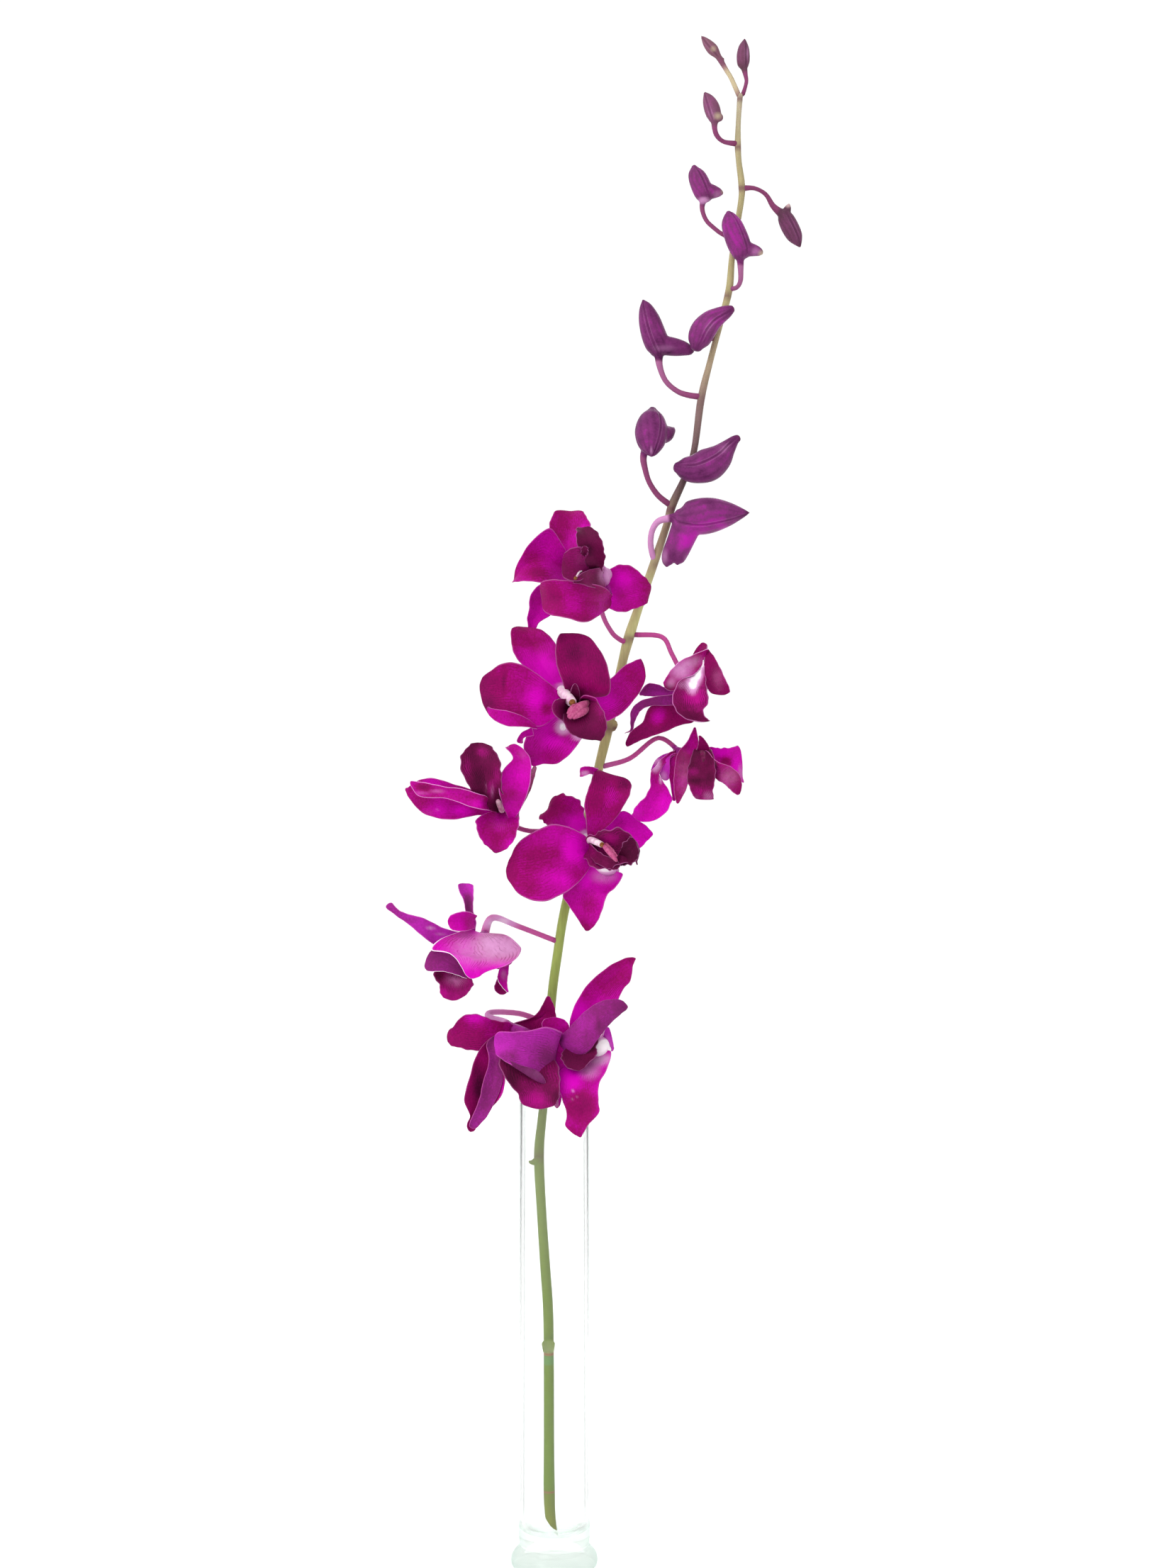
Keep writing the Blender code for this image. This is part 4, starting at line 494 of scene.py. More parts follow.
BLOOMS["g"] = {
    "depth": -8,
    "tepals": [
        blade((-33, 250.4, -26, 248.6, 0), (-44.5, 247, -18.6, 246.2, -3), (-49, 242, -12.9, 240.9, -6),
              (-40.8, 240.6, -16.7, 236.8, -7.5), (-36.8, 236, -25.8, 234.4, -8),
              (-34.6, 231.6, -31, 231.1, -8.5), cup=(-0.06, -0.2), tone=(0.78, 1), rim=(1.8, 0.4),
              veins=1.6, glow=((-42, 247, 7, 4, -0.15), (-20, 244, 14, 9, -0.75)),
              pale=((-19, 243.5, 16, 11, 0.5), (-33, 243, 15, 12, 0.36), (-26, 247, 7, 4, 0.12))),
        blade((-27, 243, -27, 248, 1), (-23, 235.5, -22, 246.8, 0.5), (-17.6, 236.6, -17.5, 245.6, -0.5),
              (-16, 239.9, -15.6, 243, -0.5), (-14.6, 240.5, -14.4, 241.5, -0.5), cup=-0.25,
              tone=(0.6, 0.6), rim=(0.1, 0.5), veins=2.5, pale=((-20, 243.5, 11, 9, 0.62),)),
        blade((-38, 246, -36, 249.5, 1), (-46.5, 244.6, -44.5, 251.8, 0),
              (-51.5, 247.5, -51.5, 255.3, -1.5), (-56.5, 252, -57.5, 256.9, -2),
              (-62, 256, -61.3, 258.5, -2), (-67.3, 259.8, -64.6, 262, -1), cup=0.3, outer=True,
              tone=(0.95, 0.7), rim=0.6, glow=((-57, 254.5, 6, 2, -0.2),),
              pale=((-49, 251.5, 3, 1.2, 0.5), (-45, 249, 4, 1.2, 0.3))),
        blade((-35, 250, -31, 250, 1), (-35, 254, -30.8, 254, 0), (-35.2, 258.5, -32, 258, 0),
              (-36, 262.5, -31.9, 262.5, 0.5), (-38.1, 267, -31.8, 266.5, 1),
              (-37.6, 269.1, -32.4, 269, 2), cup=0.4, outer=True, tone=(0.6, 0.85), rim=1,
              glow=((-34, 261, 3, 6.5, -0.5),)),
        blade((-31, 256.5, -32, 251.5, -0.5), (-35.5, 258.1, -35.5, 250.3, -3),
              (-39.3, 257.4, -39.3, 250.3, -4), (-42.3, 255.5, -42, 252, -4), cup=-0.4, flap=True,
              tone=(0.75, 0.8), rim=0.6),
        blade((-33, 231.8, -32, 238, -3), (-38.5, 232.8, -38, 240, -4.5), (-43.5, 234.2, -43, 243.2, -5),
              (-48.7, 234.2, -47.4, 243.2, -5), (-52.1, 234.1, -50, 241.8, -4.5), cup=0.2, outer=True,
              tone=(0.4, 0.5), rim=1.8),
        blade((-18.3, 238.5, -21.5, 238.5, 1), (-18.7, 233.5, -22, 233.5, 0.2),
              (-18.7, 229.5, -23, 230.3, 0), (-18.3, 227, -23.8, 227.7, -0.3),
              (-18.7, 225, -22.6, 225, -0.5), cup=0.4, flap=True, tone=(0.5, 0.3), rim=0.8),
        blade((-20.6, 238, -17.9, 238, 0), (-22.2, 233.5, -18, 234, -1.2),
              (-22.4, 230.8, -18.5, 231, -1.8), (-20.4, 227.8, -18.5, 228.2, -2),
              (-18.6, 226, -18, 226, -2), cup=-0.3, flap=True, tone=(0.8, 0.8), rim=(1.8, 0.5), veins=2,
              pale=((-20, 233, 2.5, 4, 0.3),)),
    ],
    "lip": [
        blade((-33, 236, -41, 238, -1), (-33, 231.5, -47.8, 232.5, -3), (-31.8, 228.5, -45.5, 228.7, -4),
              (-34, 225.8, -44.8, 225, -4.5), (-37, 222.8, -42.5, 222.6, -4.5), cup=0.3, ragged=0.4,
              tone=(0.6, 0.8), veins=1.6,
              glow=((-44, 226, 3, 3, 0.4), (-36, 229, 4, 4, -0.1), (-46, 232, 3, 3, -0.5)),
              pale=((-39, 231, 7, 5, 0.26),)),
    ],
    "column": [(-31, 243, 0), (-33, 239.5, -1.5), (-34, 237, -2)],
    "core": [(-27.5, 249, 3), (-28.5, 246.5, 1.5), (-28, 243, 1), (-25, 240.5, 1.5)],
    "core_radii": (1.6, 3.0, 3.4, 2.0),
    "stalk": (0.1, 0.35),
    "pale": ((-20, 254, 9, 5, 0.6), (-26, 253, 4, 3, 0.3)),
    "pedicel_radii": (1.15, 1.2, 1.75, 2.4),
    "pedicel": [(1.5, 246), (-14, 252), (-24.5, 255.5), (-27.8, 248)],
}
BLOOMS["h"] = {
    "depth": -6,
    "gain": 1.3,
    "tepals": [
        blade((-20, 207.5, -18, 214.3, -1), (-25.5, 204, -24.5, 215.3, -2.5),
              (-31, 203, -29.5, 217.3, -3.5), (-36.5, 204, -35.5, 217.2, -3.5),
              (-40.5, 205, -40, 212.3, -3), (-42.6, 207.3, -42.2, 210.7, -2), cup=0.2, ragged=0.3,
              tone=(0.65, 0.4), veins=2.5, glow=((-32, 216, 7, 3, 0.3), (-24, 211, 4, 4, 0.1))),
        blade((-20, 205, -26.5, 206.5, -3), (-21, 198, -31, 200.5, -5), (-19.2, 191, -33.6, 192, -6),
              (-21.5, 184.5, -35.6, 184, -6), (-27.5, 178.5, -33.3, 178, -5.5),
              (-31, 172.3, -34.5, 173.8, -5), (-32.3, 170.8, -33.8, 170.9, -5), cup=0.5, tone=(0.4, 0.4),
              glow=((-20.5, 188, 3, 9, 0.45), (-30, 190, 4, 11, -0.35))),
        blade((-26.5, 206, -22.5, 206, -4.5), (-25.8, 199, -20.8, 198, -7), (-28.3, 190, -20.4, 190.5, -8),
              (-29.6, 184, -23.6, 182.5, -8), (-32.3, 177.5, -27, 176.5, -7),
              (-34, 173, -31.5, 171.6, -6.5), cup=(-0.5, -0.2), outer=False, tone=(0.5, 0.6), rim=0.25),
        blade((0.3, 210, 0.8, 188, -4), (-4.5, 212.8, -4, 189.6, -7), (-10, 211.4, -11, 194.3, -9.5),
              (-16, 210.7, -16.5, 197.2, -10.5), (-21.5, 210.6, -21, 200.2, -10),
              (-24, 207.5, -23.6, 203.5, -9), cup=-0.3, outer=False, tone=(0.62, 0.9), rim=0.3, veins=1.5,
              glow=((-3, 200, 5, 10, -0.25), (-18, 200, 7, 5, -0.35))),
        blade((-21.8, 201, -21, 199.6, -10), (-15, 197.8, -14.3, 195.4, -12.4),
              (-9.6, 196.2, -8.4, 191.6, -13), (-5, 194.4, -2.4, 188.8, -12.6), cup=-0.12, flap=True,
              tone=(0.2, 0.3), rim=0.5, pale=((-6, 194, 12, 5, 0.12),)),
        blade((-4, 208, 2.4, 208, -1), (-5, 203, 4, 203, -2), (-5, 196, 5.4, 196, -2.4),
              (-3, 188, 3.2, 188, -3), (-0.6, 183, 2.6, 182.6, -4), (0.2, 180.6, 1.2, 179.8, -4), cup=-0.2,
              tone=(0.7, 0.7), rim=0, glow=((3, 200, 3, 6, -0.1), (2, 190, 4, 8, 0.35))),
        blade((-12, 207, -2, 207, 4), (-18.5, 213, 1, 214.5, 4), (-8.5, 216.7, 0.7, 217.3, 3.5),
              (-5.3, 220.3, -0.1, 221, 2.5), (-3, 224.6, -1.9, 224.6, 1.5), cup=0.2, tone=(0.5, 0.42),
              veins=1.5),
    ],
    "lip": [
        blade((-1, 199, -17, 202, -3), (1.5, 194, -22.2, 198, -8), (2.2, 189, -19.6, 190.6, -12),
              (2, 184.5, -14.8, 185.6, -14), (0.5, 181.4, -12.8, 181.8, -14.7),
              (-3, 179.8, -9, 179.8, -15), cup=0.25, ragged=0.4, tone=(0.4, 0.65), veins=1.5,
              glow=((-7, 184, 7, 5, 0.3), (-17, 192, 5, 8, -0.5), (1, 184, 2.5, 5, -0.4))),
    ],
    "column": [(-10, 203, -4), (-11, 199.5, -6.5), (-11, 197, -8)],
    "core": [(-18, 213, 2), (-13, 209.5, 0), (-8, 206, 0), (-4, 204.5, 0)],
    "core_radii": (1.6, 3.2, 4.0, 2.8),
    "stalk": (0.1, 0.8),
    "pedicel": [(-3, 213.5), (-12, 217.2), (-20, 218.2), (-25.6, 217.9), (-25.8, 216.2), (-20, 214.4)],
    "pedicel_radii": (1.2, 1.2, 1.3, 1.7),
}
BLOOMS["i"] = {
    "depth": -6,
    "gain": 1.3,
    "tepals": [
        blade((7, 207, 14, 205.5, 2), (5.9, 214, 18, 212, 3), (8.7, 222.5, 23.5, 219.5, 3.5),
              (14, 230.2, 27, 226.8, 4), (20.5, 235.7, 30.2, 231, 4), (27.5, 239.4, 31, 236.5, 4.5),
              (31.5, 239.9, 32.4, 239.4, 4.5), cup=0.25, tone=(1, 0.45), veins=1.5,
              glow=((10, 218, 5, 9, 0.3), (23, 231, 6, 5, -0.15))),
        blade((0.6, 207.5, 1.6, 203, 0), (4.5, 211.3, 7, 200.5, -5), (9.5, 216.4, 12.5, 202, -7.5),
              (15.5, 220.9, 17, 207, -8.5), (21.5, 223, 22, 213, -8), (26.5, 223, 26, 216.8, -7),
              (29.2, 220.6, 28.9, 219.5, -6), cup=-0.3, tone=(0.6, 0.55), rim=0.3,
              glow=((17.5, 213, 1.5, 5, -0.3), (26, 220, 5, 5, -0.2))),
        blade((22.8, 201, 8, 199, -2), (20.8, 194, 2, 195.5, -6), (17.5, 188, 1.3, 190, -10.5),
              (17.5, 183, 3, 184, -12.5), (17.6, 178, 4.8, 178, -13.5), (13, 173.3, 4.4, 172.8, -14),
              (10.6, 168.3, 9, 169.2, -13.5), cup=(0.3, -0.1), wave=0.4, tone=(1, 0.55), rim=0.4,
              glow=((8, 192, 6, 7, 0.3), (11, 181, 9, 11, -0.42)),
              pale=((19, 199.5, 7, 4, 0.62), (14, 195, 7, 6, 0.42), (7.3, 187, 0.8, 0.8, 0.5),
                    (8.6, 184.5, 0.7, 0.7, 0.6), (7, 183.5, 0.5, 0.5, 0.5))),
        blade((17, 206.5, 21.3, 212.3, 1.5), (20.5, 205.3, 22.9, 207.5, 1), (22.6, 202.3, 23.7, 203.3, 1),
              cup=0.3, tone=(0.95, 0.95), rim=1.2, pale=((20, 204, 5, 8, 0.35),)),
        blade((0, 203, 4, 203, 1), (-2.6, 208, 5, 208, 1), (-5, 212.5, 6, 212.5, 0.5),
              (-4.2, 215.3, 4.3, 215, 0.5), (-1.5, 216.3, 2, 216.2, 0.5), cup=0.15, tone=(0.65, 0.7),
              rim=0.5),
    ],
    "lip": [
        blade((17.8, 208, 7, 206, -1), (16.8, 203.4, 3.6, 202, -4), (16.9, 200.6, 2.8, 199, -6),
              (13.4, 197.2, 5, 196, -8), (10.6, 195, 8.6, 194.9, -8.8), cup=0.2, ragged=0.6,
              tone=(0.3, 0.3)),
    ],
    "column": [(11.5, 205, -1), (10.5, 204, -2), (9.5, 203, -3)],
    "column_look": "dull",
    "core": [(3, 205, 1), (10, 206, 2), (18.5, 204, 0), (21.5, 203, 0)],
    "core_radii": (1.6, 4.0, 4.4, 1.6),
    "pale": ((20.3, 203.3, 8, 8, 1.6),),
    "pedicel": [(-3, 205), (2, 206), (7, 206.5), (12, 205.5)],
}

# the eleven closed buds, from the top one down: each bar's points are x, z, depth and radius
BUDS = {
    1: [
        [(65.6, 594.6, 12, 0.9), (64.4, 596.2, 12, 1.5), (62.6, 598.4, 12, 2.3), (60.5, 600.8, 12, 1.9),
         (58.9, 602.8, 12, 1), (58, 603.8, 12, 0.3)],
        [(66.3, 592.6, 12, 0.8), (66.9, 595.2, 12, 0.3)],
        [(64.6, 596, 12, 1.2), (66, 593.6, 12, 1), (68, 590.2, 12, 0.85), (70, 586.8, 12, 0.85),
         (72.9, 580.2, 12, 0.9)],
    ],
    2: [
        [(74.8, 592, 12, 2.1), (74.6, 593.2, 12, 2.6), (74.6, 596.2, 12, 2.7), (74.8, 599.5, 12, 2.1),
         (75.2, 602.5, 12, 0.5)],
        [(74.8, 592, 12, 1.3), (75.6, 588, 12, 0.8), (75.9, 586, 12, 0.7), (75.4, 583.5, 12, 0.7),
         (74.4, 580.5, 12, 0.8)],
    ],
    3: [
        [(63.3, 571, 6.5, 2.4), (63.1, 572.4, 6.5, 3), (62.1, 575.7, 6.5, 3.2), (60.7, 579, 6.5, 2.3),
         (59.4, 581.5, 6.5, 0.5)],
        [(63.3, 571.9, 5.9, 2), (65, 571.6, 5.7, 1.9), (65.9, 571.4, 5.7, 1.4)],
        [(63.4, 571, 6.5, 1.4), (63.3, 567.5, 7, 1), (64.3, 564.3, 8.3, 0.9), (67, 562, 10.3, 0.8),
         (72, 561.2, 12, 1.1)],
    ],
    4: [
        [(90.8, 533.3, 16, 2.7), (91.6, 531.3, 16, 3.4), (93.3, 527.8, 16, 3.6), (95.3, 524, 16, 3),
         (97, 520.6, 16, 0.7)],
        [(91.2, 533, 16, 2), (92.3, 536, 16, 1.4), (92.7, 537.4, 16, 0.5)],
        [(73.5, 543.6, 12, 1.2), (79, 543.6, 13.2, 0.8), (83.5, 541.2, 14.8, 0.8),
         (86.5, 536.5, 15.8, 1.1), (90.5, 533, 16, 1.8)],
    ],
    5: [
        [(59.9, 539.9, 16.5, 3.2), (58.9, 542, 16.5, 3.9), (57.3, 546, 16.5, 4), (55.8, 549.6, 16.5, 3.2),
         (55.1, 552.3, 16.5, 1)],
        [(60, 542.6, 16.5, 3.4), (63, 542.2, 16.5, 2.7), (65.4, 541.9, 16.5, 1.7),
         (66.4, 541.8, 16.5, 0.8)],
        [(59, 540, 16.5, 1.3), (58.4, 535.5, 16.3, 0.9), (60, 531, 15.8, 0.8), (63, 528, 15, 0.8),
         (66, 525.7, 14, 0.8), (71, 523.3, 13, 0.9)],
    ],
    6: [
        [(74.1, 517.8, 5.5, 3.9), (73.5, 520, 5.5, 4.5), (72, 524, 5.5, 4.7), (69.9, 529.7, 5.5, 4.1),
         (69, 532.9, 5.5, 2.4), (68.6, 534.3, 5.5, 0.9)],
        [(75, 519.8, 5.5, 3.2), (79.3, 519, 5.5, 2.3), (81.5, 518.2, 5.5, 1.5), (82.2, 517.8, 5.5, 0.6)],
        [(73.3, 518.5, 5.5, 1.6), (73.6, 512, 6.5, 1.1), (73.5, 507, 8, 0.9), (72, 504.4, 10, 0.8),
         (69.3, 503.8, 12, 1)],
    ],
    7: [
        [(41.6, 479.6, 14, 3.9), (40.8, 481.8, 14, 4.9), (39.2, 486, 14, 5), (37.4, 492, 14, 4.3),
         (36, 496.8, 14, 2.6), (35, 499.6, 14, 0.4)],
        [(41.5, 481.8, 14, 4), (47, 481, 14, 3.7), (51, 480.3, 14, 3), (54, 479.4, 14, 1.8),
         (54.9, 479.2, 14, 0.7)],
        [(41.2, 480, 14, 2), (41.6, 473.5, 13.8, 1.2), (44, 467.5, 13.3, 1), (48.5, 463.5, 12.8, 1),
         (53, 461.9, 12.3, 1.1), (58.3, 461.2, 12, 1.2)],
    ],
    8: [
        [(56, 480.6, 4.5, 2.4), (57, 483.5, 4.5, 4.5), (58.8, 487.5, 4.5, 5.1), (61.8, 491, 4.5, 4.5),
         (65.2, 493.3, 4.5, 3.5), (68.2, 494.9, 4.5, 2.6), (70.2, 496, 4.5, 1.6)],
        [(57, 483.5, 5.5, 2), (59.2, 483.8, 9, 1.2), (62.4, 484.5, 12, 1.1)],
    ],
    9: [
        [(38.8, 456.3, 12, 1.6), (38.6, 453, 11, 4.9), (38.3, 448, 9, 6.6), (38.3, 443, 6.5, 5.6),
         (38.5, 439.5, 4.5, 2.8), (38.5, 437.6, 3.5, 0.4)],
        [(40, 447, 9.5, 5), (44, 446.8, 11, 3.8), (46.4, 448, 12, 1.9), (47.3, 448.9, 12.5, 0.6)],
        [(36.5, 442, 10, 1.6), (35.2, 437.5, 9.5, 1.3), (35.8, 433, 10, 1.1), (37.5, 427.5, 11, 1),
         (41, 422.3, 12, 1.1), (46, 418.3, 12, 1.2)],
    ],
    10: [
        [(48.2, 433.4, 4, 2.1), (51, 433, 4, 4.4), (55.5, 432.8, 4, 5.8), (60.7, 434.3, 4, 6.7),
         (65, 437.2, 4, 5.6), (68.4, 441, 4, 3.5), (71, 443.9, 4, 2.1), (72.6, 445, 4, 1.5)],
        [(60, 433, 6, 2), (56.5, 437, 10, 1.3), (53, 436, 13, 1.2)],
    ],
    11: [
        [(48.8, 414.5, 4.5, 2.6), (51.5, 414, 4.5, 5.8), (57, 414, 4.5, 7.3), (63, 414.6, 4.5, 6.9),
         (69, 415, 4.5, 4.9), (74, 415.3, 4.5, 2.3), (77.1, 415.5, 4.5, 0.3)],
        [(51.5, 411, 4.5, 5), (48, 404, 4.5, 3.8), (45.6, 399, 4.5, 3.2), (44.6, 395.8, 4.5, 2.2),
         (44.3, 394.4, 4.5, 0.8)],
        [(53, 410, 4.5, 5.2), (51, 404, 4.5, 4.2), (49.6, 399.5, 4.5, 3.4), (48.8, 396.5, 4.5, 2.4),
         (48.5, 395.2, 4.5, 0.8)],
        [(50, 414, 4.5, 1.9), (45, 413.2, 5, 1.4), (41, 412, 6, 1.2), (38.7, 408.5, 7.5, 1.1),
         (38, 404, 9, 1.1), (38.6, 399.5, 10.5, 1.1), (40, 395.8, 12.5, 1.2)],
    ],
}

# the stem, from below its slanted cut to the fork at its top: x, z and radius
STEM = [
    (-0.4, 8, 2.05), (-1.6, 20, 2.05), (-2, 29.6, 2.2), (-2.1, 50, 2.05), (-2.2, 80, 2.05),
    (-2.5, 100, 2.05), (-3.7, 117, 2.05), (-5.2, 138, 2), (-6.4, 160, 2.2), (-5.2, 174, 1.9),
    (-3.4, 190, 1.85), (-1.2, 222, 1.85), (1.1, 240, 1.85), (4.4, 260, 1.85), (11.8, 289, 1.85),
    (17.6, 315, 1.85), (21.2, 330, 2), (26.6, 355, 1.8), (29.4, 366, 2.1), (33.3, 378, 1.75),
    (39.2, 395, 1.7), (44.2, 410, 1.5), (46.6, 418.5, 1.7), (51.4, 429, 1.35), (55.2, 440, 1.3),
    (58, 460.5, 1.5), (61.5, 475, 1.25), (65.2, 489, 1.25), (69, 503.3, 1.45), (70.4, 518, 1.2),
    (73.7, 538, 1.2), (74, 545, 1.35), (72.9, 554, 1.15), (72.5, 561, 1.25), (72.7, 570, 1),
    (73.4, 580.5, 1.15),
]
# the two ends of the slanted cut, and the stem's depth by height
STEM_TIP = (1.2, 12.3)
STEM_CUT_LEFT = (-3.8, 19.5)
LEAN = [(13, -5), (188, 9.2), (300, 12), (410, 12), (460, 11), (520, 8), (604, 2)]
# the depth that buds' depths are counted from, beside the stem's
BUD_ZERO = 12.0

# dry bracts at the stem's nodes: three rungs each, as for a petal
BRACTS = [
    blade((-7.6, 160, -5.2, 160.4, -2), (-9.6, 158.6, -7.4, 157, -2.6), (-11, 158.4, -10.4, 157.2, -3),
          flap=True),
    blade((22.2, 328.6, 24, 329.4, -0.5), (22.6, 331.8, 25, 331.4, -1), (23, 333.6, 24.6, 333.4, -1.4),
          flap=True),
    blade((-4.4, 84, -0.2, 84, -1.6), (-4.9, 87, 0.2, 87, -2.6), (-4.9, 89, 0.2, 89, -3), flap=True),
]
# the heights of the stem's nodes and pale sheaths
STEM_NODES = [160, 330.5, 366, 395, 418, 461, 503.3, 545, 561, 580]
STEM_SHEATHS = [331, 393]

# each bud: its tone from deep to vivid, how brown it is, where a seam shows in degrees from its front,
# its stalk from dark to pale at both ends, and its glows of painted light, pale spots and straw spots as
# for a petal
BUD_TONES = {
    1: {"vivid": 0.3, "dry": 0.55, "seam": 20, "stalk": (0, 0), "glow": (), "pale": (),
        "straw": ((62.8, 598.7, 1.8, 1.8, 0.5), (70.5, 586, 7, 9, 1.2), (68, 590, 3, 3, 0.3))},
    2: {"vivid": 0.15, "dry": 0.3, "seam": -25, "stalk": (-0.2, 0.1), "glow": (),
        "pale": ((76.2, 597, 1, 4, 0.2),)},
    3: {"vivid": 0.4, "dry": 0.35, "seam": 30, "stalk": (-0.1, 0.1), "glow": (),
        "pale": ((62.5, 573, 3, 5, 0.15),), "straw": ((64.6, 572.2, 2.6, 2.2, 0.6),)},
    4: {"vivid": 0.15, "dry": 0.2, "seam": 15, "stalk": (-0.25, -0.1), "glow": (),
        "pale": ((92.5, 537, 2.2, 2, 0.3),), "straw": ((92.5, 537.2, 2, 1.8, 0.8),)},
    5: {"vivid": 0.45, "dry": 0.05, "seam": -20, "stalk": (-0.1, 0), "glow": ((64, 541, 4, 4, 0.2),),
        "pale": ((59, 538.8, 4, 2.4, 0.6), (64.5, 541, 3.5, 3, 0.3)),
        "straw": ((66.5, 542.2, 1.5, 1.5, 0.4),)},
    6: {"vivid": 0.5, "dry": 0, "seam": -30, "stalk": (0.1, 0.3), "glow": ((72, 523, 4, 8, 0.12),),
        "pale": ((79.5, 518.5, 3.5, 3.5, 0.3),), "straw": ((81.8, 517.6, 2, 2.4, 0.7),)},
    7: {"vivid": 0.35, "dry": 0, "seam": 20, "stalk": (0, 0.3), "glow": ((48, 480.5, 6, 4, 0.1),),
        "pale": ((43.5, 480.5, 8, 2.5, 0.2),)},
    8: {"vivid": 0.45, "dry": 0, "seam": -15, "stalk": (0, 0), "glow": ((64, 491, 6, 4, 0.15),),
        "pale": ((61, 489, 5, 6, 0.12),)},
    9: {"vivid": 0.35, "dry": 0, "seam": 35, "stalk": (-0.1, 0.15), "glow": ((40, 444, 5, 6, 0.1),),
        "pale": ((38.3, 440, 1, 3, 0.35),)},
    10: {"vivid": 0.35, "dry": 0, "seam": 10, "stalk": (0, 0), "glow": ((64, 437, 6, 5, 0.15),),
         "pale": ((67, 441, 5, 4, 0.15),)},
    11: {"vivid": 0.45, "dry": 0, "seam": -35, "stalk": (0.55, 0.5),
         "glow": ((54, 405, 9, 9, 0.4), (62, 411, 12, 4, 0.25), (64, 419, 12, 3, -0.1)),
         "pale": ((43.5, 398, 2.5, 6, 0.3), (52, 397, 2, 4, 0.2))},
}

# linear colours: a pair runs from dark to light, and three run from deep to vivid
INSIDE = ((0.065, 0.003, 0.028), (0.245, 0.002, 0.093), (0.59, 0.001, 0.43))
OUTSIDE = ((0.075, 0.011, 0.046), (0.195, 0.015, 0.13), (0.49, 0.02, 0.43))
LIP = ((0.045, 0.003, 0.017), (0.13, 0.004, 0.05), (0.36, 0.004, 0.18))
PETAL_SHINE = (0.9, 0.2, 0.65)
PALE = (0.60, 0.28, 0.53)
WHITE = (0.90, 0.84, 0.88)
RIM = (0.62, 0.22, 0.52)
CALLUS = ((0.36, 0.04, 0.15), (0.50, 0.105, 0.24))
COLUMN = ((0.62, 0.36, 0.50), (0.80, 0.66, 0.72))
COLUMN_DULL = ((0.20, 0.03, 0.08), (0.45, 0.26, 0.34))
COLUMN_DARK = ((0.08, 0.003, 0.03), (0.22, 0.01, 0.09))
CAP = ((0.16, 0.05, 0.01), (0.30, 0.13, 0.035))
STALK = (0.44, 0.065, 0.24)
STALK_DARK = (0.12, 0.025, 0.06)
BUD = ((0.05, 0.009, 0.042), (0.165, 0.027, 0.13), (0.42, 0.012, 0.34))
BUD_SEAM = (0.045, 0.010, 0.035)
BUD_STALK = (0.215, 0.05, 0.13)
STRAW = (0.50, 0.42, 0.26)
BUD_DRY = (0.23, 0.13, 0.12)
STEM_STREAK = (0.10, 0.10, 0.03)
STEM_SHEATH = (0.62, 0.60, 0.42)
GLASS = (0.985, 0.998, 0.993)
GLASS_EDGE = (0.92, 0.96, 0.95)
GLASS_FOOT = (0.955, 0.988, 0.965)
GLASS_FOOT_EDGE = (0.76, 0.85, 0.81)
GLASS_EDGE_SOFTNESS = 0.9
GLASS_FOOT_SOFTNESS = 0.5
GLASS_BENDING = 1.47
# the stem's colour by height
STEM_COLOURS = [(10, (0.22, 0.20, 0.04)), (18, (0.15, 0.17, 0.01)), (30, (0.13, 0.17, 0.005)),
                (30.2, (0.22, 0.10, 0.04)), (30.8, (0.22, 0.10, 0.04)), (31, (0.11, 0.18, 0.005)),
                (78.8, (0.11, 0.18, 0.005)), (79.4, (0.10, 0.21, 0.05)), (82.4, (0.10, 0.21, 0.05)),
                (82.8, (0.24, 0.11, 0.05)), (83.4, (0.24, 0.11, 0.05)), (83.8, (0.20, 0.24, 0.08)),
                (88.4, (0.17, 0.22, 0.05)), (89.2, (0.12, 0.18, 0.01)), (170, (0.16, 0.21, 0.045)),
                (255, (0.31, 0.385, 0.095)), (318, (0.42, 0.38, 0.16)), (352, (0.43, 0.38, 0.18)),
                (378, (0.58, 0.56, 0.25)), (408, (0.33, 0.24, 0.16)), (430, (0.11, 0.055, 0.07)),
                (456, (0.20, 0.12, 0.12)), (480, (0.38, 0.29, 0.19)), (505, (0.40, 0.34, 0.17)),
                (545, (0.38, 0.32, 0.165)), (604, (0.50, 0.43, 0.33))]
STREAK_STRETCH = (1, 1, 0.12)
STREAK_SCALE = 1100.0

# noise that makes a tone uneven: its features a metre, its detail and its strength
PETAL_MOTTLE = (130, 3, 0.7)
PETAL_GRAIN = (1300, 3, 0.4)
PETAL_BLOTCH = (450, 3, 0.5)
BUD_MOTTLE = (240, 3, 0.7)
BUD_GRAIN = (1500, 2, 0.35)
# a petal's veins: how they fan out, how they wobble and how close they are
VEIN_SPREAD = 1.25
VEIN_FAN = 0.32
VEIN_WOBBLE = 0.09
VEIN_TURNS = 105.0
VEIN_PALENESS = 0.07
VEIN_HEIGHT = -0.7
BUD_VEIN_DEPTH = 0.12
BUD_SEAM_SHARE = 0.42
# how rough a skin's bumps are, and the depth to which light goes into it, in metres
BUMP_STRENGTH = 0.5
BUMP_HEIGHT = 0.0001
PETAL_BUMP_HEIGHT = 0.00015
BUD_BUMP_HEIGHT = 0.00012
STEM_BUMP_HEIGHT = 0.0002
SKIN_GLOSS = 0.15
SHEEN_ROUGHNESS = 0.4
LIGHT_DEPTH = 0.0006
LIGHT_DEPTH_BY_COLOUR = (1.0, 0.25, 0.8)


def place_in(plan, x, z, y):
    """Place a point of a flower, whose depths are counted from the flower's own and stretched."""
    return seen(x, z, plan["depth"] + plan.get("gain", GAIN) * y)


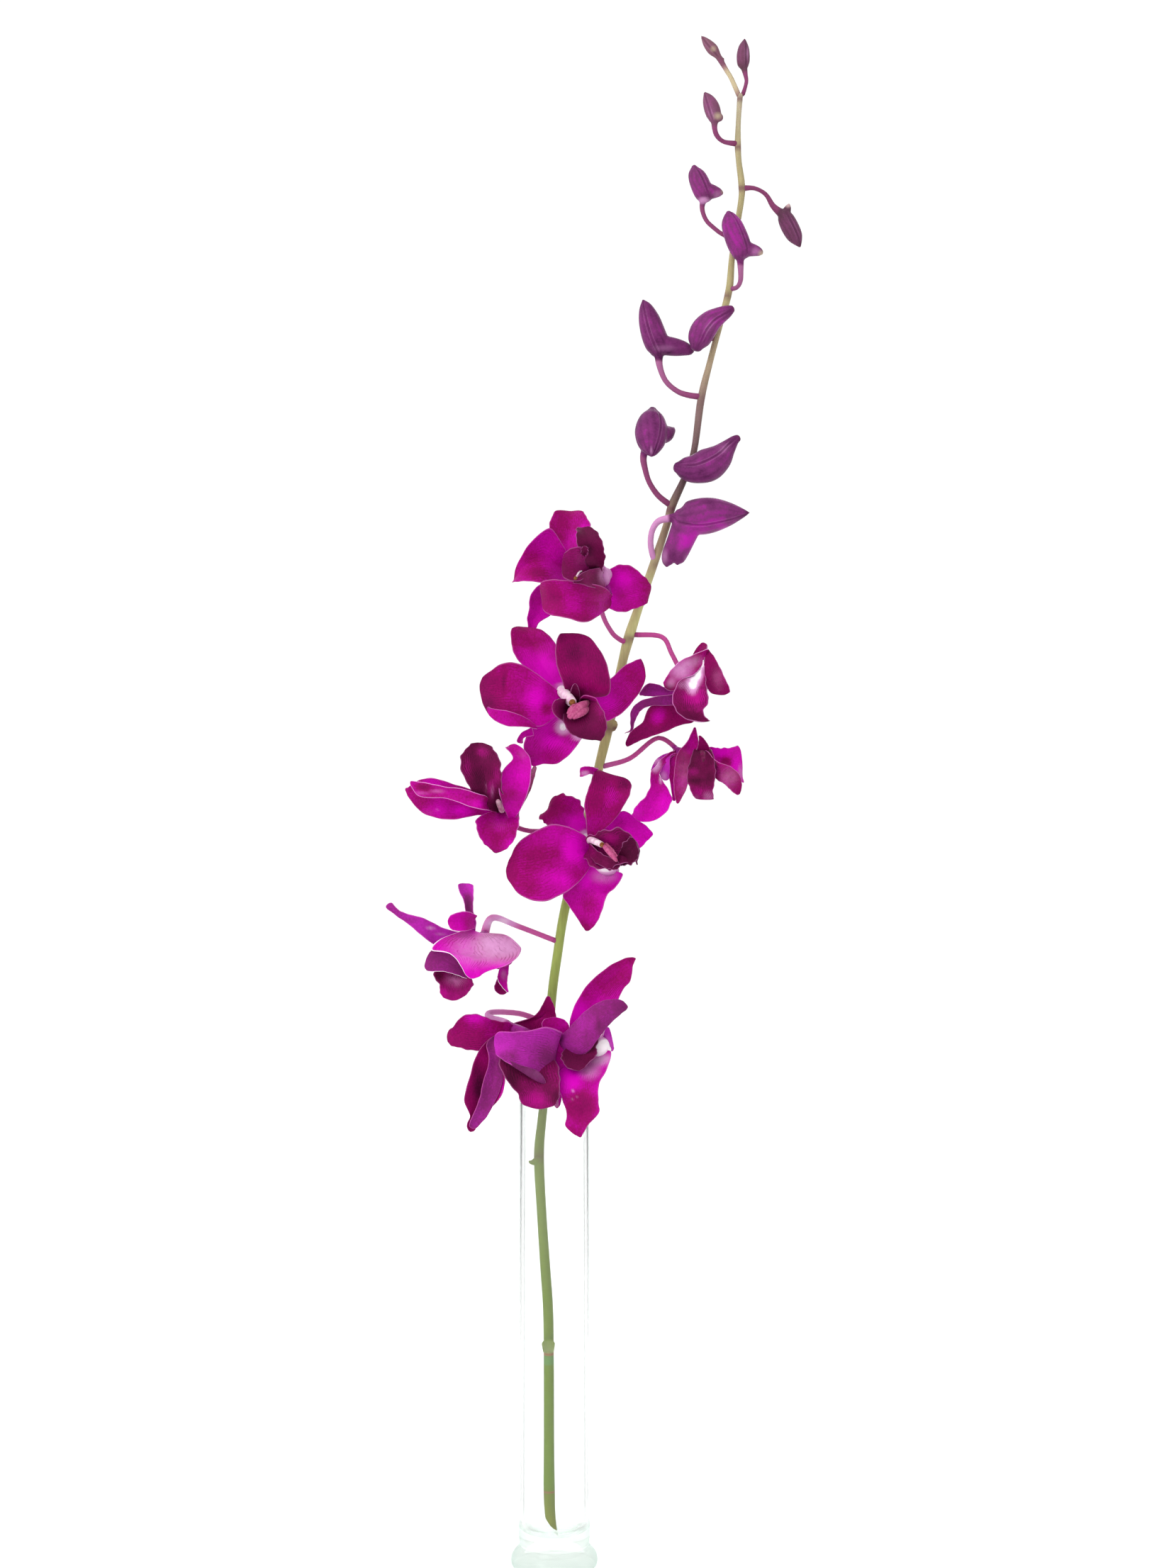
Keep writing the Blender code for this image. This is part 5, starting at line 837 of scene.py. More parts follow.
def edges_of(petal, plan):
    """The left and the right edge of a petal, as places."""
    left = [place_in(plan, x, z, y) for x, z, _, _, y in petal["rungs"]]
    right = [place_in(plan, x, z, y) for _, _, x, z, y in petal["rungs"]]
    return left, right


def nearest_to(path, point, samples):
    """Find where along a path a point is nearest."""
    return min(samples, key=lambda t: np.linalg.norm(through(path, t) - point))


def rooted(left, right, core, core_radii):
    """Add a rung inside the flower's core, so that the petal grows from it."""
    root = (left[0] + right[0]) / 2
    nearest = nearest_to(core, root, np.linspace(*ROOT_STRETCH, SAMPLES))
    radius = through(core_radii, nearest)
    side = right[0] - left[0]
    side = side / np.linalg.norm(side) * radius * ROOT_SHARE
    middle = through(core, nearest)
    away = np.linalg.norm(root - middle)
    place = middle + (root - middle) * min(radius * ROOT_REACH / away, 1)
    return [place - side, *left], [place + side, *right]


def lean(z):
    """How far back the stem lies at a height: it leans on the vase's rim and nods at its tip."""
    return float(np.interp(z, *zip(*LEAN)))


def bent_grid(across, along, place):
    """Bend a grid into a surface: place gives each point from how far across and along it lies."""
    shape = bmesh.new()
    shape.loops.layers.uv.new(SURFACE)
    bmesh.ops.create_grid(shape, x_segments=across, y_segments=along, size=1, calc_uvs=True)
    for point in shape.verts:
        point.co = place((point.co.x + 1) / 2, (point.co.y + 1) / 2) * MM
    shape.normal_update()
    return shape


def as_object(name, shape, *finishes):
    """Turn a shape into a smooth object with its materials."""
    mesh = bpy.data.meshes.new(name)
    shape.to_mesh(mesh)
    shape.free()
    mesh.shade_smooth()
    for finish in finishes:
        mesh.materials.append(finish)
    thing = bpy.data.objects.new(name, mesh)
    bpy.context.scene.collection.objects.link(thing)
    return thing


def with_modifiers_applied(thing):
    """Replace an object by one whose mesh holds its modifiers' result."""
    bpy.context.view_layer.update()
    mesh = bpy.data.meshes.new_from_object(thing.evaluated_get(bpy.context.evaluated_depsgraph_get()))
    solid = bpy.data.objects.new(thing.name, mesh)
    bpy.context.scene.collection.objects.link(solid)
    bpy.data.objects.remove(thing, do_unlink=True)
    return solid


def joined(name, things):
    """Join objects into one, with all their materials."""
    first = things[0]
    if len(things) > 1:
        with bpy.context.temp_override(active_object=first, selected_editable_objects=things):
            bpy.ops.object.join()
    first.name = name
    first.data.name = name
    return first


def petal_point(petal, left, right, across, along):
    """Work out a point of a cupped, waved petal with a midrib and a rounded tip."""
    v = 2 * across - 1
    at_edge = abs(v) ** EDGE_POWER
    last = len(left) - 1
    tip_width = np.linalg.norm(right[last] - left[last])
    tip_length = np.linalg.norm(right[last] + left[last] - right[last - 1] - left[last - 1]) / 2
    rounding = min(petal["tip"] * tip_width / max(tip_length, 1), TIP_ROUND_MOST) / last
    s = along * (1 - rounding * at_edge)
    low, high = through(left, s), through(right, s)
    ahead = sum(through(edge, min(s + STEP, 1)) - through(edge, max(s - STEP, 0))
                for edge in (left, right))
    ahead = ahead / np.linalg.norm(ahead)
    side = (high - low) / 2
    half = np.linalg.norm(side)
    breadth = min(half / FULL_HALF_WIDTH, 1)
    face = np.cross(side, ahead)
    face = face / np.linalg.norm(face)
    cup = petal["cups"][v > 0] * half * abs(v) ** CUP_POWER
    phase = left[-1][0] + 2 * np.sign(v)
    frill = math.sin(FRILL_TURNS[0] * math.tau * s + phase)
    frill += 0.5 * math.sin(FRILL_TURNS[1] * math.tau * s + 2 * phase)
    ripple = math.sin(WAVE_TURNS * math.tau * s + WAVE_SHIFT * np.sign(v)) * petal["wave"]
    ripple = (ripple + EDGE_WAVE * frill * breadth) * at_edge * min(1, WAVE_TURNS * s)
    midrib = MIDRIB_DEPTH * math.exp(-(v / MIDRIB_WIDTH) ** 2) * math.sin(math.pi * s) * breadth
    tilt = between(petal["tilts"], s)
    lift = cup + ripple - midrib * np.sign(sum(petal["cups"]))
    fray = 0.6 * math.sin(FRAY_TURNS[0] * math.tau * s + phase)
    fray += 0.4 * math.sin(FRAY_TURNS[1] * math.tau * s - phase)
    widening = 1 + petal["ragged"] * fray * v**FRAY_POWER / max(half, 1)
    return (low + high) / 2 + side * v * widening + face * lift + np.array([0, tilt * v, 0])


def spotted(place, spots):
    """Sum the soft spots that show where a point shows."""
    x, z = shown(place)
    total = 0
    for middle_x, middle_z, wide, tall, strength in spots:
        away = math.hypot((x - middle_x) / wide, (z - middle_z) / tall)
        total += strength * (1 - away**2) ** 2 if away < 1 else 0
    return total


def spotted_all(places, spots):
    """Sum the soft spots at each place."""
    return np.array([spotted(place, spots) for place in places])


def make_petal(petal, left, right, thickness, finishes):
    """A petal with an inner and an outer face and a pale rim, and its tone with painted light and shade,
    and its paleness, painted in.
    """
    rows = CELLS_A_RUNG * (len(left) - 1)
    shape = bent_grid(CELLS_ACROSS, rows, lambda u, s: petal_point(petal, left, right, u, s))
    vivid, pale, rim, veins = (shape.verts.layers.float.new(name)
                               for name in ("vivid", "pale", "rim", "veins"))
    uv = shape.loops.layers.uv[SURFACE]
    for point in shape.verts:
        u, s = point.link_loops[0][uv].uv
        place = np.array(point.co) / MM
        # the tone with its spots of painted light, and of painted shade where they are negative
        point[vivid] = between(petal["tone"], s) + spotted(place, petal["glow"])
        point[pale] = min(spotted(place, petal["pale"]), 1)
        point[rim] = between(petal["rims"], u)
        point[veins] = petal["veins"]
    shows_outside = sum(petal["cups"]) < 0 if petal["outer"] is None else petal["outer"]
    for face in shape.faces:
        face.material_index = int(shows_outside)
    thing = as_object("petal", shape, *finishes)
    shell = thing.modifiers.new("thickness", "SOLIDIFY")
    shell.thickness = thickness * MM
    shell.offset = 0
    shell.material_offset = -1 if shows_outside else 1
    shell.material_offset_rim = 1 if shows_outside else 2
    round_off = thing.modifiers.new("round", "SUBSURF")
    round_off.levels = round_off.render_levels = 1
    return with_modifiers_applied(thing)


def bar(points, radii):
    """A round bar with domed ends along a smooth curve through the points."""
    places = [np.array(point) for point in points]
    count = RINGS_A_SPAN * (len(points) - 1)
    centres = [through(places, i / count) for i in range(count + 1)]
    sizes = [max(through(radii, i / count), LEAST_RADIUS) for i in range(count + 1)]
    ahead = [centres[min(i + 1, count)] - centres[max(i - 1, 0)] for i in range(count + 1)]
    ahead = [step / np.linalg.norm(step) for step in ahead]

    def dome(end, way):
        """The rings that close the bar's start or its end, from the bar outward."""
        rings = []
        for step in range(1, DOME_STEPS + 1):
            angle = math.pi / 2 * step / DOME_STEPS
            out = ahead[end] * sizes[end] * DOME * math.sin(angle)
            rings.append((centres[end] + way * out, sizes[end] * math.cos(angle), ahead[end]))
        return rings

    rings = dome(0, -1)[::-1] + list(zip(centres, sizes, ahead)) + dome(-1, 1)
    side = np.cross(rings[0][2], [0, 1, 0.1])
    frames = []
    for middle, radius, axis in rings:
        side = side - axis * np.dot(side, axis)
        side = side / np.linalg.norm(side)
        frames.append((middle, radius, side, np.cross(axis, side)))

    def place(across, along):
        """A point of the bar's skin."""
        middle, radius, side, up = frames[round(along * (len(frames) - 1))]
        angle = math.tau * across
        return middle + radius * (math.cos(angle) * side + math.sin(angle) * up)

    shape = bent_grid(BAR_SIDES, len(frames) - 1, place)
    bmesh.ops.remove_doubles(shape, verts=shape.verts, dist=MERGE)
    bmesh.ops.recalc_face_normals(shape, faces=shape.faces)
    return shape


def merged_flesh(name, bars, voxel, finish):
    """Blend overlapping round bars into one smooth body."""
    body = joined(name, [as_object(name, shape) for shape in bars])
    blend = body.modifiers.new("blend", "REMESH")
    blend.mode = "VOXEL"
    blend.voxel_size = voxel * MM
    body = with_modifiers_applied(body)
    shape = bmesh.new()
    shape.from_mesh(body.data)
    for _ in range(FLESH_SMOOTHING):
        bmesh.ops.smooth_vert(shape, verts=shape.verts, factor=0.5, use_axis_x=True, use_axis_y=True,
                              use_axis_z=True)
    bpy.data.objects.remove(body, do_unlink=True)
    return as_object(name, shape, finish)


def places_of(thing):
    """The places of a piece's points."""
    places = np.empty(len(thing.data.vertices) * 3)
    thing.data.vertices.foreach_get("co", places)
    return places.reshape(-1, 3) / MM


def paint(thing, **layers):
    """Store values from 0 to 1 for a piece's points under each name, one for each point or for all."""
    count = len(thing.data.vertices)
    for name, values in layers.items():
        layer = thing.data.attributes.new(name, "FLOAT", "POINT")
        values = np.broadcast_to(limited(values), count)
        layer.data.foreach_set("value", np.ascontiguousarray(values, dtype=np.float32))


def near_bar(points, radii, places):
    """How far outside a round bar's skin each place is, and how far along the bar."""
    steps = np.linspace(0, 1, 2 * SAMPLES)
    away = np.linalg.norm(places[:, None] - sampled(points, steps)[None], axis=2) - sampled(radii, steps)
    return away.min(axis=1), steps[away.argmin(axis=1)]


def around(points, places, along):
    """How far from a bar's middle each place is, which way, and its angle from the viewer's side."""
    steps = np.linspace(0.01, 0.99, 2 * SAMPLES)
    path = sampled(points, steps)
    ahead = np.gradient(path, axis=0)
    ahead = ahead / np.linalg.norm(ahead, axis=1)[:, None]
    nearest = np.round(along * (len(steps) - 1)).astype(int)
    outward = places - path[nearest]
    reach = np.linalg.norm(outward, axis=1)
    side = np.cross(ahead, [0, 1, 0])
    side = side / np.linalg.norm(side, axis=1)[:, None]
    toward = np.cross(ahead, side)
    angle = np.arctan2((outward * side[nearest]).sum(axis=1), (outward * toward[nearest]).sum(axis=1))
    return reach, outward / np.maximum(reach, 0.1)[:, None], angle


def new_finish(name, roughness, sheen=0.0, softness=0.0, shine=(1, 1, 1)):
    """Start a material: returns it, its node tree and its shader."""
    finish = bpy.data.materials.new(name)
    finish.use_nodes = True
    shader = finish.node_tree.nodes["Principled BSDF"]
    shader.inputs["Roughness"].default_value = roughness
    shader.inputs["Sheen Weight"].default_value = sheen
    shader.inputs["Sheen Roughness"].default_value = SHEEN_ROUGHNESS
    shader.inputs["Specular IOR Level"].default_value = SKIN_GLOSS
    shader.inputs["Specular Tint"].default_value = (*shine, 1)
    shader.inputs["Subsurface Weight"].default_value = softness
    shader.inputs["Subsurface Radius"].default_value = LIGHT_DEPTH_BY_COLOUR
    shader.inputs["Subsurface Scale"].default_value = LIGHT_DEPTH
    return finish, finish.node_tree, shader


def put(tree, kind, inputs, **settings):
    """Add a node, set its settings, and fill its inputs with values or with other nodes' outputs."""
    made = tree.nodes.new(kind)
    for name, value in settings.items():
        setattr(made, name, value)
    for name, value in inputs.items():
        if isinstance(value, bpy.types.NodeSocket):
            tree.links.new(value, made.inputs[name])
        else:
            made.inputs[name].default_value = value
    return made


def attribute(tree, name):
    """A value that is painted on the piece."""
    return put(tree, "ShaderNodeAttribute", {}, attribute_name=name).outputs["Fac"]


def maths(tree, operation, first, second=0.0, clamp=False):
    """Work out a value from two values or outputs."""
    inputs = {0: first, 1: second}
    return put(tree, "ShaderNodeMath", inputs, operation=operation, use_clamp=clamp).outputs[0]


def blended(tree, share, first, second):
    """Mix two colours, each a value or an output."""
    colours = [colour if isinstance(colour, bpy.types.NodeSocket) else (*colour, 1)
               for colour in (first, second)]
    inputs = {0: share, 6: colours[0], 7: colours[1]}
    return put(tree, "ShaderNodeMix", inputs, data_type="RGBA").outputs[2]


def blended_value(tree, share, first, second):
    """Mix two values or outputs."""
    return maths(tree, "ADD", maths(tree, "MULTIPLY", share, second),
                 maths(tree, "MULTIPLY", maths(tree, "SUBTRACT", 1.0, share), first))


def ranged(tree, value, low, high, out_low=0.0, out_high=1.0):
    """Map a value from one range to another, smoothly and within its limits."""
    inputs = {"Value": value, "From Min": low, "From Max": high, "To Min": out_low, "To Max": out_high}
    return put(tree, "ShaderNodeMapRange", inputs, interpolation_type="SMOOTHSTEP").outputs["Result"]


def own_place(tree):
    """A place in the piece's own axes, and its height."""
    place = put(tree, "ShaderNodeTexCoord", {}).outputs["Object"]
    return place, put(tree, "ShaderNodeSeparateXYZ", {"Vector": place}).outputs["Z"]


def speckle(tree, scale, detail=2.0):
    """Noise that is fixed to the piece, with its scale in features a metre."""
    place = put(tree, "ShaderNodeTexCoord", {}).outputs["Object"]
    inputs = {"Vector": place, "Scale": scale, "Detail": detail}
    return put(tree, "ShaderNodeTexNoise", inputs).outputs["Fac"]


def uneven(tree, scale, detail, strength):
    """Noise that goes up and down around zero."""
    return maths(tree, "MULTIPLY", maths(tree, "SUBTRACT", speckle(tree, scale, detail), 0.5), strength)


def mottled_tone(tree, mottle, grain, veins, vein_depth):
    """The piece's painted tone, with its painted light and shade, made uneven and deeper in its veins."""
    unevenness = [uneven(tree, *mottle), uneven(tree, *grain)]
    tone = maths(tree, "ADD", attribute(tree, "vivid"), maths(tree, "ADD", *unevenness))
    return maths(tree, "SUBTRACT", tone, maths(tree, "MULTIPLY", veins, vein_depth), clamp=True)


def petal_veins(tree):
    """Fine veins that run from a petal's root and fan out to its edges, and how far aside a place is."""
    uv = put(tree, "ShaderNodeUVMap", {}, uv_map=SURFACE).outputs["UV"]
    parts = put(tree, "ShaderNodeSeparateXYZ", {"Vector": uv})
    aside = maths(tree, "ABSOLUTE", maths(tree, "SUBTRACT", parts.outputs["X"], 0.5))
    bent = maths(tree, "SUBTRACT", maths(tree, "MULTIPLY", aside, VEIN_SPREAD),
                 maths(tree, "MULTIPLY", parts.outputs["Y"], VEIN_FAN))
    wobble = maths(tree, "MULTIPLY", speckle(tree, 300), VEIN_WOBBLE)
    lines = maths(tree, "SINE", maths(tree, "MULTIPLY", maths(tree, "ADD", bent, wobble), VEIN_TURNS))
    return ranged(tree, lines, 0.35, 1.0), aside


def rough_up(tree, shader, height, distance):
    """Let a height in the material raise and lower the skin a little."""
    bump = put(tree, "ShaderNodeBump", {"Height": height, "Strength": BUMP_STRENGTH, "Distance": distance})
    tree.links.new(bump.outputs["Normal"], shader.inputs["Normal"])


def by_tone(tree, tone, colours):
    """Colour by a tone from 0 to 1, through a dark, a middle and a vivid colour."""
    ramp = put(tree, "ShaderNodeValToRGB", {"Fac": tone})
    ramp.color_ramp.elements.new(0.5)
    for element, colour in zip(ramp.color_ramp.elements, colours):
        element.color = (*colour, 1)
    return ramp.outputs["Color"]


def whitened(tree, colour, paleness):
    """Turn a colour pale and then nearly white."""
    colour = blended(tree, ranged(tree, paleness, 0, 0.75), colour, PALE)
    return blended(tree, ranged(tree, paleness, 0.65, 1), colour, WHITE)


def rimmed(tree, colour, share):
    """Turn a colour to the rim's pink, and beyond a share of 1 to white."""
    colour = blended(tree, maths(tree, "MINIMUM", share, 1.0), colour, RIM)
    return blended(tree, ranged(tree, share, 0.9, 2), colour, WHITE)


def petal_finish(name, colours, roughness, vein_depth):
    """A petal's face: velvety, mottled and finely veined, with painted light and shade in its tone, paler
    at its edge and in its pale spots.
    """
    finish, tree, shader = new_finish(name, roughness, shine=PETAL_SHINE)
    lines, aside = petal_veins(tree)
    plain = ranged(tree, speckle(tree, 260), 0.42, 0.62)
    veins = maths(tree, "MULTIPLY", maths(tree, "MULTIPLY", lines, plain), attribute(tree, "veins"))
    tone = mottled_tone(tree, PETAL_MOTTLE, PETAL_GRAIN, veins, vein_depth)
    edge = maths(tree, "MULTIPLY", ranged(tree, aside, 0.47, 0.5), attribute(tree, "rim"))
    colour = rimmed(tree, by_tone(tree, tone, colours), edge)
    blotch = maths(tree, "ADD", uneven(tree, *PETAL_BLOTCH), 1.0)
    paleness = maths(tree, "MULTIPLY", attribute(tree, "pale"), blotch)
    paleness = maths(tree, "SUBTRACT", paleness, maths(tree, "MULTIPLY", veins, VEIN_PALENESS), clamp=True)
    tree.links.new(whitened(tree, colour, paleness), shader.inputs["Base Color"])
    height = maths(tree, "ADD", maths(tree, "MULTIPLY", veins, VEIN_HEIGHT), speckle(tree, 2200))
    rough_up(tree, shader, height, PETAL_BUMP_HEIGHT)
    return finish


def rim_finish(name, colours):
    """A petal's thin cut edge, paler than its faces where the petal says so."""
    finish, tree, shader = new_finish(name, 0.45, shine=PETAL_SHINE)
    colour = rimmed(tree, by_tone(tree, attribute(tree, "vivid"), colours), attribute(tree, "rim"))
    tree.links.new(whitened(tree, colour, attribute(tree, "pale")), shader.inputs["Base Color"])
    return finish


def plain_finish(name, colours, scale, roughness, softness=0.2):
    """A mottled finish between two colours."""
    finish, tree, shader = new_finish(name, roughness, 0.1, softness)
    tone = ranged(tree, speckle(tree, scale, 4), 0.3, 0.7)
    tree.links.new(blended(tree, tone, *colours), shader.inputs["Base Color"])
    rough_up(tree, shader, speckle(tree, scale * 4), BUMP_HEIGHT)
    return finish


def flesh_finish():
    """The core of a flower and its stalk, pink and darker where it leaves the stem."""
    finish, tree, shader = new_finish("stalk", 0.42, shine=PETAL_SHINE)
    mottle = ranged(tree, speckle(tree, 500, 3), 0.25, 0.75, -0.12, 0.12)
    tone = maths(tree, "ADD", attribute(tree, "vivid"), mottle, clamp=True)
    colour = blended(tree, attribute(tree, "stalk"), by_tone(tree, tone, OUTSIDE), STALK)
    colour = blended(tree, attribute(tree, "dark"), colour, STALK_DARK)
    tree.links.new(whitened(tree, colour, attribute(tree, "pale")), shader.inputs["Base Color"])
    rough_up(tree, shader, speckle(tree, 1400), BUMP_HEIGHT)
    return finish


def bud_finish():
    """A closed bud: dull purple with lengthwise veins, dark seams with painted highlights beside them, and
    a painted glow; its stalk duller and redder.
    """
    finish, tree, shader = new_finish("bud", 0.45, shine=PETAL_SHINE)
    tone = mottled_tone(tree, BUD_MOTTLE, BUD_GRAIN, attribute(tree, "veins"), BUD_VEIN_DEPTH)
    colour = by_tone(tree, tone, BUD)
    colour = blended(tree, attribute(tree, "dry"), colour, BUD_DRY)
    seam = maths(tree, "MULTIPLY", attribute(tree, "seam"), BUD_SEAM_SHARE)
    colour = blended(tree, seam, colour, BUD_SEAM)
    for name, tint in (("stalk", BUD_STALK), ("dark", STALK_DARK), ("straw", STRAW)):
        colour = blended(tree, attribute(tree, name), colour, tint)
    tree.links.new(whitened(tree, colour, attribute(tree, "pale")), shader.inputs["Base Color"])
    rough_up(tree, shader, speckle(tree, 1600), BUD_BUMP_HEIGHT)
    return finish


def stem_finish():
    """The stem: green at its foot, then olive, purple-brown and straw towards its tip."""
    finish, tree, shader = new_finish("stem", 0.42, 0.05, 0.1)
    place, height = own_place(tree)
    colour = STEM_COLOURS[0][1]
    for (low, _), (high, tint) in zip(STEM_COLOURS, STEM_COLOURS[1:]):
        colour = blended(tree, ranged(tree, height, low * MM, high * MM), colour, tint)
    stretched = put(tree, "ShaderNodeMapping", {"Vector": place, "Scale": STREAK_STRETCH})
    noise = {"Vector": stretched.outputs["Vector"], "Scale": STREAK_SCALE}
    streaks = put(tree, "ShaderNodeTexNoise", noise).outputs["Fac"]
    colour = blended(tree, ranged(tree, streaks, 0.3, 0.7, 0, 0.18), colour, STEM_STREAK)
    colour = blended(tree, attribute(tree, "dark"), colour, STALK_DARK)
    colour = blended(tree, attribute(tree, "pale"), colour, STEM_SHEATH)
    tree.links.new(colour, shader.inputs["Base Color"])
    rough_up(tree, shader, streaks, STEM_BUMP_HEIGHT)
    return finish


def glass_finish():
    """Clear glass, a little greener and darker in the foot and where it is seen edge on."""
    finish, tree, shader = new_finish("glass", 0.02)
    shader.inputs["Transmission Weight"].default_value = 1.0
    shader.inputs["IOR"].default_value = GLASS_BENDING
    facing = put(tree, "ShaderNodeLayerWeight", {"Blend": 0.35}).outputs["Facing"]
    edge = ranged(tree, facing, 0.35, 1.0)
    _, height = own_place(tree)
    above = ranged(tree, height, (VASE_FLOOR + 0.5) * MM, (VASE_FLOOR + 5) * MM)
    foot = blended(tree, ranged(tree, facing, 0.2, 0.75), GLASS_FOOT, GLASS_FOOT_EDGE)
    tint = blended(tree, above, foot, blended(tree, edge, GLASS, GLASS_EDGE))
    tree.links.new(tint, shader.inputs["Base Color"])
    # part of the glass lets light straight through, and all of it lets shadow and diffuse rays pass
    ray = put(tree, "ShaderNodeLightPath", {})
    passing = maths(tree, "MAXIMUM", ray.outputs["Is Shadow Ray"], ray.outputs["Is Diffuse Ray"])
    grazing = ranged(tree, facing, 0.4, 0.75, 0, GLASS_EDGE_SOFTNESS)
    passing = maths(tree, "MAXIMUM", passing, blended_value(tree, above, GLASS_FOOT_SOFTNESS, grazing))
    clear = put(tree, "ShaderNodeBsdfTransparent", {"Color": tint})
    mixed = put(tree, "ShaderNodeMixShader", {0: passing, 1: shader.outputs[0], 2: clear.outputs[0]})
    tree.links.new(mixed.outputs[0], tree.nodes["Material Output"].inputs["Surface"])
    return finish


# a petal's inner face, outer face and rim
PETAL_FINISHES = (
    petal_finish("petal_inside", INSIDE, 0.45, 0.12),
    petal_finish("petal_outside", OUTSIDE, 0.5, 0.14),
    rim_finish("petal_rim", INSIDE),
)
LIP_FINISHES = (
    petal_finish("lip_inside", LIP, 0.55, 0.2),
    petal_finish("lip_outside", LIP, 0.55, 0.2),
    rim_finish("lip_rim", LIP),
)
CALLUS_FINISH = plain_finish("callus", CALLUS, 900, 0.35)
STALK_FINISH = flesh_finish()
COLUMN_FINISHES = {
    "white": plain_finish("column", COLUMN, 420, 0.35, 0.3),
    "dull": plain_finish("column_dull", COLUMN_DULL, 420, 0.35, 0.3),
    "dark": plain_finish("column_dark", COLUMN_DARK, 420, 0.4),
}
CAP_FINISH = plain_finish("cap", CAP, 900, 0.4)
BUD_FINISH = bud_finish()
STEM_FINISH = stem_finish()
GLASS_FINISH = glass_finish()


def deliver(thing, node):
    """Let a finished piece stand for its node."""
    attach(thing, "root")
    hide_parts(node)


def make_vase():
    """Turn the vase from one profile, from the inner floor over the rim and down to the foot."""
    inner = VASE_RADIUS - VASE_WALL
    profile = [(0, VASE_FLOOR)]
    for step in range(CORNER_STEPS + 1):
        angle = math.pi / 2 * step / CORNER_STEPS
        radius = inner - VASE_CORNER * (1 - math.sin(angle))
        profile.append((radius, VASE_FLOOR + VASE_CORNER * (1 - math.cos(angle))))
    rim = VASE_WALL / 2
    for step in range(RIM_STEPS + 1):
        angle = math.pi * (1 - step / RIM_STEPS)
        height = VASE_HEIGHT - rim * (1 - math.sin(angle))
        profile.append((VASE_RADIUS - rim + rim * math.cos(angle), height))
    foot = [np.array(point) for point in FOOT_PROFILE]
    profile += [tuple(through(foot, t)) for t in np.linspace(0, 1, FOOT_STEPS * len(foot))]
    profile += [(0, 0)]
    shape = bmesh.new()
    line = [shape.verts.new((radius * MM, 0, height * MM)) for radius, height in profile]
    edges = [shape.edges.new(ends) for ends in zip(line, line[1:])]
    bmesh.ops.spin(shape, geom=line + edges, cent=(0, 0, 0), axis=(0, 0, 1), angle=math.tau,
                   steps=VASE_SIDES, use_merge=True)
    bmesh.ops.remove_doubles(shape, verts=shape.verts, dist=MERGE)
    bmesh.ops.recalc_face_normals(shape, faces=shape.faces)
    vase = as_object("vase", shape, GLASS_FINISH)
    vase.data.set_sharp_from_angle(angle=VASE_CREASE)
    deliver(vase, "vase")


def rings_at(heights, nodes, width):
    """How much each height belongs to one of the stem's nodes."""
    return sum(np.exp(-((heights - z) / width) ** 2) for z in nodes)


def make_stem():
    """Round stem with a slanted cut at its foot, swollen nodes and a few dry bracts."""
    points = [seen(x, z, lean(z)) for x, z, _ in STEM]
    shape = bar(points, [radius for _, _, radius in STEM])
    tip, left = (seen(x, z, lean(z)) for x, z in (STEM_TIP, STEM_CUT_LEFT))
    along = tip - left
    outward = np.array([along[2], 0, -along[0]])
    everything = shape.verts[:] + shape.edges[:] + shape.faces[:]
    bmesh.ops.bisect_plane(shape, geom=everything, plane_co=tip * MM, plane_no=outward, clear_outer=True)
    bmesh.ops.holes_fill(shape, edges=[edge for edge in shape.edges if edge.is_boundary])
    bmesh.ops.recalc_face_normals(shape, faces=shape.faces)
    things = [as_object("stem", shape, STEM_FINISH)]
    for bract in BRACTS:
        plan = {"depth": lean(bract["rungs"][0][1]), "gain": 1}
        things.append(make_petal(bract, *edges_of(bract, plan), PETAL_THICKNESS, [STEM_FINISH] * 3))
    stem = joined("stem", things)
    heights = places_of(stem)[:, 2]
    paint(stem, dark=rings_at(heights, STEM_NODES, NODE_WIDTH) * NODE_DARKNESS,
          pale=rings_at(heights, STEM_SHEATHS, SHEATH_WIDTH) * SHEATH_PALENESS)
    deliver(stem, "stem")


def pedicel_of(plan, core):
    """The flower's own stalk, from inside the stem to inside its core."""
    x, z = plan["pedicel"][-1]
    end = min((through(core, t) for t in np.linspace(0, 1, SAMPLES)),
              key=lambda point: np.hypot(*(point - seen(x, z, point[1]))[::2]))
    start = lean(plan["pedicel"][0][1])
    last = len(plan["pedicel"])
    depths = [start + (end[1] - start) * step / last for step in range(last)]
    return [seen(x, z, y) for (x, z), y in zip(plan["pedicel"], depths)] + [end]


def make_flesh(plan, core):
    """A flower's core and stalk, blended into one body."""
    stalk = pedicel_of(plan, core)
    stalk_radii = plan.get("pedicel_radii", PEDICEL_RADII)
    bars = [bar(core, plan["core_radii"]), bar(stalk, stalk_radii)]
    flesh = merged_flesh("flesh", bars, FLESH_VOXEL, STALK_FINISH)
    places = places_of(flesh)
    from_core, _ = near_bar(core, plan["core_radii"], places)
    from_stalk, along = near_bar(stalk, stalk_radii, places)
    on_stalk = limited((from_core - from_stalk) / FLESH_BLEND)
    tone = between(plan.get("stalk", (0, 0)), along) * on_stalk
    dark = limited(1 - along / STALK_FOOT) * on_stalk * STALK_FOOT_DARKNESS
    spots = spotted_all(places, plan.get("pale", ()))
    paint(flesh, stalk=on_stalk, vivid=FLESH_TONE, dark=dark - tone, pale=spots + limited(tone))
    return flesh


def make_blades(blades, plan, core, thickness, finishes):
    """Petals or lip lobes, which grow from the flower's core unless they are flaps."""
    made = []
    for petal in blades:
        left, right = edges_of(petal, plan)
        if not petal["flap"]:
            left, right = rooted(left, right, core, plan["core_radii"])
        made.append(make_petal(petal, left, right, thickness, finishes))
    return made


